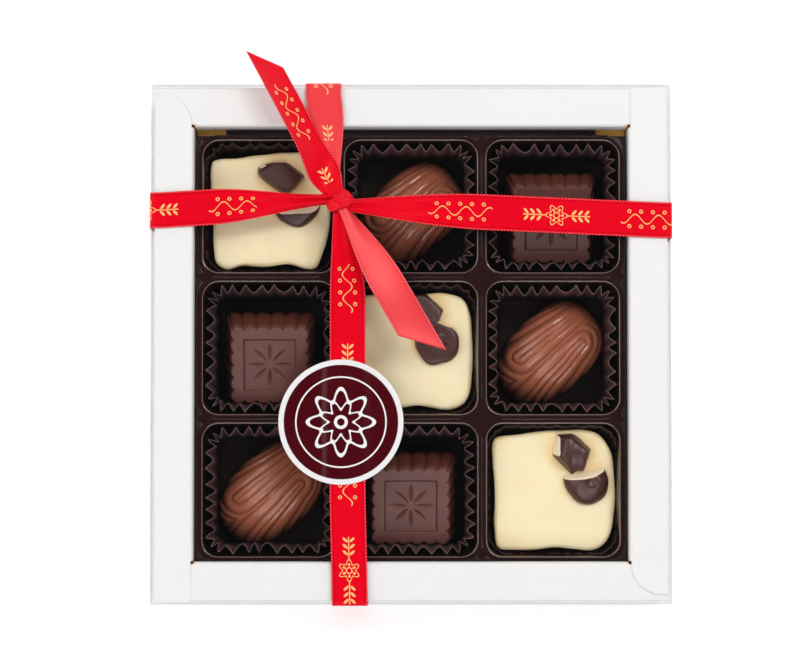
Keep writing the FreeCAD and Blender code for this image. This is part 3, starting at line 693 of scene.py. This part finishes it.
nut = {"seed": 90, "tall": 4.2 * mm, "sunk": 0.3, "soft": 0.06, "stray": 11, "lumps": (0.26, 0.16),
       "lumpLength": 1.2, "dent": (0.0, 0.26), "dentAt": (0.22, 0.05), "dentSize": 0.2,
       "breaks": (((40, 12, 0.66), (-20, 5, 0.80), (230, 8, 0.68), (100, 10, 0.82)),
                  ((-50, 20, 0.95), (215, 15, 0.94))),
       "own": {1: ({"place": (3.4, 9.2), "size": (14.0, 9.6), "breaks": ((70, 78, 0.56), (120, 20, 0.93))},
                   {"place": (7.4, 0.9), "size": (13.4, 12.4), "breaks": ((-85, 70, 0.7), (98, 42, 0.1))}),
               5: ({"place": (3.6, 10.4), "size": (12.4, 12.4), "breaks": ((60, 84, 0.42), (165, 10, 0.95))},
                   {"place": (7.2, 2.0), "size": (13.2, 13.0), "breaks": ((-60, 84, 0.46), (75, 4, 0.86))}),
               9: ({"place": (5.4, 10.9), "size": (12.4, 12.4), "breaks": ((60, 76, 1.4), (165, 18, 0.76))},
                   {"place": (9.6, 2.8), "size": (13.2, 13.2), "breaks": ((-70, 66, 0.9), (112, 14, 0.36))})},
       "coat": ((58, 25, 21), (80, 41, 35)), "bare": (252, 230, 198), "grain": 900, "rough": (0.28, 0.14),
       "bareRough": 0.25, "bump": (0.25, 0.3 * mm)}


def whiteFinish(start):
    # mark is painted shade: a warmer, darker tone round the nuts, in patches along the rim and down the sides
    warmShade = start.noise(white["cloud"], 3.0).ramp(0.45, 0.75) * 0.45 + start.mark() * 0.9
    return {"Base Color": warmShade.maths("MINIMUM", 1.0).mix(*white["colours"]),
            **grained(start.noise(white["grain"]), white)}


def makeWhite(cell, material):
    # shares of the outline from the middle of the foot up the side, round the crown's arc and in
    # over the top, with seeded ripples on the sides and the top
    number, tall, crown, foot = cell["number"], white["height"], white["crown"], white["foot"]
    seed = white["seed"] + number
    outline = softLoop(np.array(white["outline"][number]) * mm, white["around"])
    turnIn = crown / np.abs(outline).max()
    arc = np.linspace(0, quarterTurn, 9)
    rise = np.linspace(0, 1, 9)[:-1]
    inner = np.linspace(1, 0, 22)[1:]
    share = np.concatenate([foot * np.array([0.0, 0.5, 0.93]), foot + (1 - foot) * rise ** 0.8,
                            1 - turnIn * (1 - np.cos(arc)), (1 - turnIn) * inner])[:, None]
    height = np.concatenate([np.zeros(3), white["footRise"] + (tall - crown - white["footRise"]) * rise,
                             tall - crown * (1 - np.sin(arc)), np.full(len(inner), tall)])[:, None]
    ring = outline * share[..., None]
    x, y = ring[..., 0], ring[..., 1]
    out = outline / np.linalg.norm(outline, axis=-1, keepdims=True)
    lumps = white["waves"] * (ripple(x + height, y - height, seed + 4, white["waveLength"]) - 0.3)
    ring = ring + out * (lumps * smooth(0.3, 0.8, share))[..., None]
    onTop = smooth(tall - crown, tall, height)
    z = height + onTop * (white["swell"] * ripple(x, y, seed + 9, white["swellLength"]) - white["sink"]
                          + white["drape"] * ripple(x, 0.6 * y, seed + 2, white["drapeLength"]))
    # painted shade: warmer round the nuts, in patches along the rim and on the sides
    wide, deep = white["nutShadeSize"]
    near = np.min([np.hypot((x / mm - half["place"][0]) / wide, (y / mm - half["place"][1]) / deep)
                   for half in nut["own"][number]], axis=0)
    rim = smooth(0.86, 1.0, share) * (ripple(x, y, seed + 6, white["rimShadeLength"]) > 0)
    mark = onTop * ((1 - smooth(0.75, 1.25, near)) * 0.8 + 0.35 * rim) + (1 - onTop) * 0.5
    points = inCell(cell, raised(ring, z), 0, white["shift"], boxOf(f"white_square_{number}")[0][2])
    grids = [{"points": points, "mark": mark}]
    addToCell(cell, "whiteSquare", grids, material, "white_square")


def nutFinish(start):
    # mark is 1 on the bare break
    grain, bare = start.noise(nut["grain"], 3.0), start.mark().ramp(0.35, 0.65)
    coat = grain.mix(*nut["coat"])
    least, more = nut["rough"]
    return {"Base Color": bare.mix(coat, nut["bare"]),
            "Roughness": least + nut["bareRough"] * bare + more * grain,
            "Normal": grain.bump(*nut["bump"])}


def makeNuts(cell, material):
    # lumpy balls pressed flat, each with its sides broken off softly along leaning planes
    number, tall = cell["number"], nut["tall"]
    seat = boxOf(f"nut_halves_{number}")[0][2] + 0.2 * tall
    theta = np.linspace(0, fullTurn, 121)[None, :]
    phi = np.linspace(0, math.pi, 61)[:, None]
    ball = together(np.sin(phi) * np.cos(theta), np.sin(phi) * np.sin(theta), np.cos(phi))
    grids = []
    for i, half in enumerate(nut["own"][number]):
        lump = ripple(ball[..., 0] + 0.3 * ball[..., 2], ball[..., 1] - 0.4 * ball[..., 2],
                      nut["seed"] + 7 * number + i, nut["lumpLength"])
        unit = ball * (1 + nut["lumps"][i] * lump)[..., None]
        for k, (heading, lean, limit) in enumerate((*nut["breaks"][i], *half["breaks"])):
            spin, lean = math.radians(heading + nut["stray"] * math.sin(3 * number + k)), math.radians(lean)
            way = np.array([math.cos(spin) * math.cos(lean), math.sin(spin) * math.cos(lean), math.sin(lean)])
            past = unit @ way - limit
            unit = unit - (nut["soft"] * np.logaddexp(0, past / nut["soft"]))[..., None] * way
        bare = np.where(past > 0.015, 1.0, 0.0)
        dent = np.hypot(unit[..., 0] - nut["dentAt"][0], unit[..., 1] - nut["dentAt"][1])
        unit[..., 2] -= nut["dent"][i] * np.exp(-(dent / nut["dentSize"]) ** 2) * (unit[..., 2] > 0)
        (wide, deep), (x, y) = half["size"], half["place"]
        points = unit * np.array([wide / 2 * mm, deep / 2 * mm, tall * 0.8])
        points[..., 2] = np.maximum(points[..., 2], -nut["sunk"] * tall)
        grids.append({"points": inCell(cell, points, x * mm, y * mm + white["shift"], seat), "mark": bare})
    addToCell(cell, "nutHalves", grids, material, "nut_halves")


whiteChocolate = makeFinish("whiteChocolate", {"Subsurface Weight": 0.25, "Subsurface Scale": 2.5 * mm,
                                               "Subsurface Radius": (1.0, 0.7, 0.35)}, whiteFinish)
coatedNut = makeFinish("coatedNut", {"Specular IOR Level": 0.5}, nutFinish)
for cell in cellsWith("white_square"):
    makeWhite(cell, whiteChocolate)
    makeNuts(cell, coatedNut)
print("white squares: soft pillows, each with two broken nuts")


# satin ribbon: four arms over the lid, two loose ends and the knot; the print's repeat, the weave, the
# dashes and the edge lines are in millimetres on the cloth

ribbon = {"width": 10.0 * mm, "cloth": 0.22 * mm, "across": 33, "red": (231, 0, 31), "deep": (212, 0, 25),
          "gold": (236, 184, 118), "shine": 45, "bump": (0.12, 0.05 * mm), "printFrom": (0.5, 0.85),
          "repeat": 54.0, "weft": 0.42, "warp": 0.5, "dash": 0.95, "selvedgeAt": 0.75, "selvedgeHalf": 0.22,
          "threadWidth": 0.38, "selvedge": (140, 0, 14), "selvedgeShare": 0.7, "thread": (255, 130, 130),
          "threadShare": 0.4}


def ribbonPrint(start):
    # gold line work in millimetres on the cloth, in turn: a six-petalled flower between two leafy
    # stems, and a longer wavy stem with berries
    u, v, _ = start.cut().split()
    half = ribbon["repeat"] / 2
    a = (u % ribbon["repeat"]) - half / 2  # along from the flower's middle
    b = ((u + half) % ribbon["repeat"]) - half / 2  # along from the wavy stem's middle
    far = (a * a + v * v) ** 0.5
    petals = (v.maths("ARCTAN2", a) * 6).maths("COSINE")
    flower = abs(far - (petals * 0.6 + 2.4)) < 0.17
    eye = abs(far - 0.8) < 0.15
    rays = (petals > 0.5) * (far > 1.15) * (far < 2.0)
    stem = (abs(v) < 0.15) * (abs(a) > 3.2) * (abs(a) < 9.4)
    slant = ((abs(a) - 4.0) % 1.8) - 0.9 - (abs(v) - 0.9) * 0.7
    leaf = ((slant * slant) / 0.2 + (abs(v) - 0.95) ** 2.0 / 0.5 < 1.0) * (abs(a) > 4.0) * (abs(a) < 9.4)
    vine = (abs(v - (b * (fullTurn / 6.6)).maths("SINE") * 1.3) < 0.17) * (abs(b) < 9.0)
    berryAlong, berryUp = ((b + 1.65) % 3.3) - 1.65, abs(v) - 2.1
    berry = (abs((berryAlong * berryAlong + berryUp * berryUp) ** 0.5 - 0.42) < 0.14) * (abs(b) < 8.3)
    total = (flower + eye + rays + stem + leaf + vine + berry) * (start.mark() > 0.5)  # none in the pleats
    return total.clamped()


def ribbonFinish(printed, dull=0.2):
    def varying(start):
        # a fine weave, with a dashed dark line and a dashed pale thread along each edge
        u, v, _ = start.cut().split()
        weft = (v * (fullTurn / ribbon["weft"])).maths("SINE")
        warp = (u * (fullTurn / ribbon["warp"])).maths("SINE")
        fromEdge = ribbon["width"] / mm / 2 - abs(v)
        dash = ((u % ribbon["dash"]) - ribbon["dash"] / 2) > 0.0
        selvedge = (abs(fromEdge - ribbon["selvedgeAt"]) < ribbon["selvedgeHalf"]) * dash
        thread = (fromEdge < ribbon["threadWidth"]) * dash
        shine = start.noise(ribbon["shine"])
        cloth = shine.mix(ribbon["deep"], ribbon["red"])
        cloth = (selvedge * ribbon["selvedgeShare"]).mix(cloth, ribbon["selvedge"])
        cloth = (thread * ribbon["threadShare"]).mix(cloth, ribbon["thread"])
        if printed:
            cloth = ribbonPrint(start).mix(cloth, ribbon["gold"])
        height = weft * 0.5 + warp * 0.25 - selvedge * 1.5
        return {"Base Color": cloth, "Roughness": dull + 0.05 * shine, "Normal": height.bump(*ribbon["bump"])}

    return varying


satin = {"Sheen Weight": 0.03, "Sheen Roughness": 0.9, "Sheen Tint": linear((255, 150, 150)),
         "Specular IOR Level": 0.15, "Specular Tint": linear((255, 120, 120))}
glossy = {**satin, "Sheen Weight": 0.3, "Specular IOR Level": 1.0, "Specular Tint": linear((255, 175, 170))}
printedSatin = makeFinish("printedSatin", satin, ribbonFinish(True))
paleSatin = makeFinish("paleSatin", glossy, ribbonFinish(True, 0.4))
plainSatin = makeFinish("plainSatin", glossy, ribbonFinish(False, 0.36))
coated = {**satin, "Coat Weight": 0.22, "Coat Roughness": 0.1}
knotSatin = makeFinish("knotSatin", coated, ribbonFinish(False))
knotMiddle = middleOf("ribbon_knot")

# neck is the width at the knot, which opens out over the gather, and lead how far it has opened there;
# start shifts the neck sideways and swing brings the arm onto its own line earlier

arms = {"right": {"angle": 0, "rise": 1.5 * mm, "pleatLift": 0.75 * mm, "swing": 0, "gather": 38 * mm,
                  "lead": 0.5, "neck": 1.1 * mm, "start": -0.6 * mm, "printShift": 9, "cloth": printedSatin},
        "far": {"angle": quarterTurn, "rise": 0.3 * mm, "pleatLift": 0.2 * mm, "swing": 0, "gather": 25 * mm,
                "lead": 0, "neck": 2.9 * mm, "start": 1.0 * mm, "printShift": 3, "cloth": paleSatin},
        "left": {"angle": math.pi, "rise": 1.5 * mm, "pleatLift": 0.75 * mm, "swing": 0, "gather": 34 * mm,
                 "lead": 0, "neck": 2.9 * mm, "start": -1.2 * mm, "printShift": 15, "cloth": printedSatin},
        "near": {"angle": -quarterTurn, "rise": 1.5 * mm, "pleatLift": 0.25 * mm, "swing": 0.75,
                 "gather": 24 * mm, "lead": 0, "neck": 4.6 * mm, "start": 0.3 * mm, "printShift": 21,
                 "cloth": printedSatin}}
armRun = {"first": 2.2 * mm, "flatEnd": 2 * mm, "straightEnd": 3 * mm, "riseRun": 30 * mm, "tuck": 6 * mm,
          "bends": (1.15 * mm, 0.3 * mm, 0.3 * mm), "rows": 60, "pleats": 2, "tilt": 0.125 * mm,
          "pleatBase": 0.35 * mm}


def pointsOf(node):
    mesh = nodes[node].data
    points = np.empty(3 * len(mesh.vertices), np.float32)
    mesh.vertices.foreach_get("co", points)
    return points.reshape(-1, 3).astype(float)


def makeArm(way):
    # a strip from the knot out over the lid's edge, down its wall and tucked up under its rim;
    # towards the knot it narrows by a smooth step and the spare width stands up in cosine pleats
    arm, name, angle = arms[way], f"ribbon_{way}", arms[way]["angle"]
    low, high = boxOf(name)
    packed, centre = turned(pointsOf(name), -angle), turned(knotMiddle, -angle)
    drop = packed[packed[:, 2] < high[2] / 2]
    edgeY = (drop[:, 1].min() + drop[:, 1].max()) / 2
    skin = ribbon["cloth"] / 2
    wall, inside = packed[:, 0].max() - skin, drop[:, 0].min() + skin
    level, foot = high[2] - skin, low[2] + skin
    first = centre[0] + armRun["first"]
    top = np.linspace(first, wall - armRun["flatEnd"], armRun["rows"])
    corners = np.array([(top[-1], level), (wall, level), (wall, foot), (inside, foot),
                        (inside, low[2] + armRun["tuck"])])
    line = np.concatenate([together(top, level), roundedRun(corners, armRun["bends"])[1:]])
    length = np.concatenate([[0], np.cumsum(np.linalg.norm(np.diff(line, axis=0), axis=1))])[:, None]
    out, onTop = line[:, :1], np.arange(len(line))[:, None] < len(top)
    v = np.linspace(-1, 1, ribbon["across"])[None, :]
    opened = np.where(onTop, smooth(-arm["lead"], 1, (out - first) / arm["gather"]), 1)
    width = arm["neck"] + (ribbon["width"] - arm["neck"]) * opened
    straight = np.clip((out - centre[0]) / (wall - armRun["straightEnd"] - centre[0]), 0, 1)
    straight = np.maximum(np.where(onTop, straight, 1), arm["swing"] * opened)
    root = centre[1] + arm["start"]
    y = root + (edgeY - root) * straight + v * width / 2
    fold = (1 - np.cos(math.pi * armRun["pleats"] * (v + 1))) / 2
    climb = arm["rise"] * np.clip(1 - (out - first) / armRun["riseRun"], 0, 1) ** 2
    pleat = fold * arm["pleatLift"] * 2 + armRun["tilt"] * np.sin(1.5 * math.pi * v + 0.4)
    z = line[:, 1:] + climb + (1 - opened) ** 1.2 * (pleat + armRun["pleatBase"])
    points = turned(together(out, y, z), angle)
    uv = together(length / mm + arm["printShift"], v * ribbon["width"] / mm / 2)
    grids = [{"points": points, "uv": uv, "mark": smooth(*ribbon["printFrom"], opened)}]
    piece = addPiece(f"ribbonArm{way.capitalize()}", grids, arm["cloth"], "lid", name,
                     ribbon["cloth"], 0.0)


for way in arms:
    makeArm(way)
print("ribbon: four arms over the lid")

tails = {"upper": {"heading": math.radians(117.7), "length": 45.2 * mm, "cut": 8.0 * mm,
                   "roll": math.radians(44), "twist": 0.0, "lift": 4.6 * mm, "bow": 0.8 * mm,
                   "open": 11 * mm, "pleats": 2, "cloth": printedSatin},
         "lower": {"heading": math.radians(-59.6), "length": 45.5 * mm, "cut": 10.2 * mm,
                   "roll": math.radians(-14), "twist": math.radians(-45), "lift": 2.2 * mm, "bow": 1.6 * mm,
                   "open": 26 * mm, "pleats": 1, "cloth": plainSatin}}
tailRoot = {"first": 1.5 * mm, "neck": 3.4 * mm, "lift": 1.6 * mm, "pleatLift": 1.2 * mm, "untwist": 10 * mm,
            "curl": 0.5 * mm, "rows": 70, "printShift": 12.0}


def makeTail(end):
    # a loose end: a strip that opens out of the knot, turns a little about its own length as it
    # goes, rises in a shallow bow and is cut on the slant
    tail, name, first, neck = tails[end], f"ribbon_tail_{end}", tailRoot["first"], tailRoot["neck"]
    share = np.linspace(0, 1, tailRoot["rows"])[:, None]
    v = np.linspace(-1, 1, ribbon["across"])[None, :]
    s = first + share * (tail["length"] - first + tail["cut"] / 2 * v * smooth(0, 1, share))
    opened = smooth(-0.1, 1, s / tail["open"])
    width = neck + (ribbon["width"] - neck) * opened
    roll = (tail["roll"] * smooth(0, 1, s / (0.45 * tail["length"]))
            + tail["twist"] * np.exp(-(s / tailRoot["untwist"]) ** 2))
    rise = (tailRoot["lift"] + (tail["lift"] - tailRoot["lift"]) * smooth(0, 0.8, share)
            + tail["bow"] * np.sin(math.pi * share) ** 2)
    fold = (1 - np.cos(math.pi * tail["pleats"] * (v + 1))) / 2 * (1 - opened) ** 1.2 * tailRoot["pleatLift"]
    off = fold + tailRoot["curl"] * (v * v - 0.4) * np.sin(math.pi * share)
    y = v * width / 2 * np.cos(roll) - off * np.sin(roll)
    z = boxOf("ribbon_right")[1][2] + rise + v * width / 2 * np.sin(roll) + off * np.cos(roll)
    points = turned(together(s, y, z), tail["heading"]) + knotMiddle * (1, 1, 0)
    uv = together(s / mm + tailRoot["printShift"], v * ribbon["width"] / mm / 2)
    grids = [{"points": points, "uv": uv, "mark": smooth(*ribbon["printFrom"], opened)}]
    piece = addPiece(f"ribbonTail{end.capitalize()}", grids, tail["cloth"], "lid", name,
                     ribbon["cloth"], 0.0)
    tail["length"] + abs(tail["cut"]) / 2
    ribbon["width"] * (tail["length"] - first)


knot = {"long": 3.3 * mm, "wide": 2.6 * mm, "tall": 1.9 * mm, "pleats": 5, "pleat": 0.12, "sunk": 0.72,
        "turn": math.radians(-42), "bandWidth": 3.7 * mm, "bandTurn": math.radians(-58), "swell": 0.22,
        "grip": 0.55, "bandOver": (0.5 * mm, 0.55 * mm), "bandThin": (0.96, 0.86, 0.80),
        "fold": (2.6 * mm, 1.5 * mm, 1.7 * mm), "foldTurn": math.radians(-50),
        "foldAt": (1.9 * mm, 1.7 * mm, 0.9 * mm)}


def makeKnot():
    # a pleated lump under a band that wraps over it, and a rounded fold that stands out on its far
    # right: the lump is an egg with ridges along it, the band a strip bent over in a half round and
    # pinched at its ends, the fold a plain egg
    theta = np.linspace(0, fullTurn, 121)[None, :]
    phi = np.linspace(0, math.pi, 49)[:, None]
    ridge = 1 + knot["pleat"] * np.abs(np.sin(theta * knot["pleats"] / 2 + 2.2 * np.cos(phi)))
    egg = together(np.cos(phi), np.sin(phi) * np.cos(theta), np.sin(phi) * np.sin(theta))
    lump = egg * together(1, ridge, ridge) * (knot["long"], knot["wide"], knot["tall"])
    fold = turned(egg * knot["fold"], knot["foldTurn"]) + knot["foldAt"]
    around = np.linspace(-0.3 * math.pi, 1.3 * math.pi, 71)[:, None]
    v = np.linspace(-1, 1, 41)[None, :]
    over = np.sin(np.clip(around, 0, math.pi))
    pinch = knot["grip"] + (1 - knot["grip"]) * over ** 0.8
    crease = 0.03 * np.cos(3 * math.pi * v + 1.2 * np.cos(around)) + 0.2 * np.sqrt(np.clip(1 - v * v, 0, 1))
    radius = 1.02 + crease + knot["swell"] * smooth(-0.2, 0.9, -np.cos(around)) * over
    outer = together(knot["bandWidth"] / 2 * v * pinch + 0.4 * mm * np.cos(around),
                     (knot["wide"] + knot["bandOver"][0]) * np.cos(around) * radius,
                     (knot["tall"] + knot["bandOver"][1]) * np.sin(around) * radius)
    inner = outer * knot["bandThin"]
    edges = [np.stack([outer[:, k], inner[:, k]]) for k in (0, -1)]
    ends = [np.stack([outer[k], inner[k]]) for k in (0, -1)]
    band = [turned(part, knot["bandTurn"]) for part in (outer, inner, *edges, *ends)]
    floor = boxOf("ribbon_knot")[0][2]
    grids = []
    for part in (turned(lump, knot["turn"]), *band, fold):
        part = part + np.array([*knotMiddle[:2], floor + knot["tall"] * knot["sunk"]])
        part[..., 2] = np.maximum(part[..., 2], floor)
        rows, columns = part.shape[:2]
        uv = together(np.linspace(0, 6, rows)[:, None], np.linspace(-3, 3, columns)[None, :])
        grids.append({"points": part, "uv": uv})
    addPiece("ribbonKnot", grids, knotSatin, "lid", "ribbon_knot")


makeKnot()
for end in tails:
    makeTail(end)
print("ribbon: knot and two loose ends")


# round paper seal: white edge and glossy dark face, laid over the near arm; line work in millimetres

seal = {"step": 0.30 * mm, "drape": 2.0 * mm, "rest": 0.08 * mm, "paperSheet": 0.12 * mm,
        "paperLift": 0.12 * mm, "faceSheet": 0.06 * mm, "faceLift": 0.19 * mm, "line": 0.55, "petals": 8,
        "rosette": 8.6, "ring": 12.6, "maroon": ((66, 0, 10), (72, 0, 12)), "cloud": 90,
        "paper": ((222, 219, 220), (228, 225, 226)), "grain": 1800, "rough": (0.4, 0.1),
        "bump": (0.05, 0.1 * mm)}


def sealPaperFinish(start):
    fibre = start.noise(seal["grain"])
    return {"Base Color": fibre.mix(*seal["paper"]), **grained(fibre, seal)}


def sealFaceFinish(start):
    # white line work: a rosette of two crossed rings of petals, a small eye and a thin outer ring
    x, y, _ = start.place().split()
    middle = middleOf("seal_paper_disc")
    x, y = (x - float(middle[0])) / mm, (y - float(middle[1])) / mm
    far = (x * x + y * y) ** 0.5
    wave = (y.maths("ARCTAN2", x) * seal["petals"]).maths("COSINE")
    outer = abs(far - (wave * 1.7 + seal["rosette"] - 1.0)) < seal["line"]
    inner = abs(far - (wave * -1.3 + seal["rosette"] * 0.56)) < seal["line"] * 0.8
    eye = abs(far - 1.5) < seal["line"] * 0.8
    ring = abs(far - seal["ring"]) < seal["line"] * 0.4
    line = (outer + inner + eye + ring).clamped()
    cloud = start.noise(seal["cloud"])
    face = cloud.mix(*seal["maroon"])
    return {"Base Color": line.mix(face, seal["paper"][1]), "Roughness": 0.2 + 0.14 * line + 0.06 * cloud}


def makeSealDisc(name, node, material, thickness, lift):
    # a disc that lies on the lid and rises over the ribbon under it in a soft step each side
    low, high = boxOf(node)
    middle, radius = middleOf(node), (high[0] - low[0]) / 2
    rho = np.concatenate([np.linspace(0, 0.97, 30), [0.985, 1.0]])[::-1, None] * radius
    theta = np.linspace(0, fullTurn, 129)[None, :]
    x, y = rho * np.cos(theta) + middle[0], rho * np.sin(theta) + middle[1]
    fromArm, half = np.abs(x - middleOf("ribbon_near")[0]), ribbon["width"] / 2
    over = 1 - smooth(half, half + seal["drape"], fromArm)
    z = boxOf("ribbon_near")[1][2] + seal["step"] * (over - 0.75) + seal["rest"] + lift
    addPiece(name, [{"points": together(x, y, z)}], material, "lid", node, thickness)


sealPaper = makeFinish("sealPaper", {}, sealPaperFinish)
sealFace = makeFinish("sealFace", {"Specular IOR Level": 0.22}, sealFaceFinish)
makeSealDisc("sealPaper", "seal_paper_disc", sealPaper, seal["paperSheet"], seal["paperLift"])
makeSealDisc("sealFace", "seal_foil_disc", sealFace, seal["faceSheet"], seal["faceLift"])
print("seal: paper edge and dark face")


# stage: a pale floor, soft lights that look at the box and the camera over it

stage = {"floor": ((252, 252, 252), (251, 251, 252)), "reach": 3.0, "glow": 0.3,
         "aim": (-3.08 * mm, 2.94 * mm, 30.4 * mm), "distance": 0.93, "tilt": math.radians(2.65),
         "lens": 149.5, "sensor": 36.0, "walls": (1.1, 1.1, 1.1, 1), "ceiling": (0.04, 0.04, 0.04, 1),
         "lights": {"keyLight": {"place": (0.55, 0.62, 1.12), "size": 1.1, "power": 2.9},
                    "topLight": {"place": (0.42, 0.45, 1.50), "size": 0.34, "power": 3.4},
                    "glintLight": {"place": (0.62, 0.50, 1.10), "size": 0.2, "power": 3.0},
                    "fillLight": {"place": (-0.75, 0.25, 1.05), "size": 1.1, "power": 6.2},
                    "nearLight": {"place": (0.05, -0.78, 1.32), "size": 0.9, "power": 6.6}}}


def floorFinish(start):
    cloud = start.noise(8)
    return {"Base Color": cloud.mix(*stage["floor"]), "Roughness": 0.6 + 0.05 * cloud}


def addToStage(name, data):
    thing = bpy.data.objects.new(name, data)
    bpy.context.scene.collection.objects.link(thing)
    return thing


floorMesh = bpy.data.meshes.new("floor")
edge = stage["reach"]
floorCorners = [(-edge, -edge, 0), (edge, -edge, 0), (edge, edge, 0), (-edge, edge, 0)]
floorMesh.from_pydata(floorCorners, [], [(0, 1, 2, 3)])
floorMesh.materials.append(makeFinish("paleFloor", {"Emission Color": (1, 1, 1, 1),
                                                    "Emission Strength": stage["glow"]}, floorFinish))
floor = addToStage("floor", floorMesh)

for name, light in stage["lights"].items():
    lamp = bpy.data.lights.new(name, "AREA")
    lamp.shape, lamp.size, lamp.energy = "DISK", light["size"], light["power"]
    holder = addToStage(name, lamp)
    holder.location = light["place"]
    holder.rotation_euler = (-Vector(light["place"])).to_track_quat("-Z", "Y").to_euler()

# pale walls and a dark ceiling round the camera, so that flat glossy faces stay deep in colour
world = bpy.data.worlds.new("studio")
world.use_nodes = True
height = Wire(world.node_tree).node("TexCoord", output="Generated").split()[2]
room = height.ramp(0.15, 0.85).mix(stage["walls"], stage["ceiling"])
world.node_tree.links.new(room.socket, world.node_tree.nodes["Background"].inputs["Color"])
bpy.context.scene.world = world
bpy.context.scene.view_settings.view_transform = "Standard"

lens = bpy.data.cameras.new("camera")
lens.sensor_width, lens.lens, lens.clip_start = stage["sensor"], stage["lens"], 0.01
camera = addToStage("camera", lens)
tilt = stage["tilt"]
camera.location = Vector(stage["aim"]) + stage["distance"] * Vector((0, -math.sin(tilt), math.cos(tilt)))
camera.rotation_euler = (tilt, 0, 0)
bpy.context.scene.camera = camera

print("stage: floor, lights and camera")
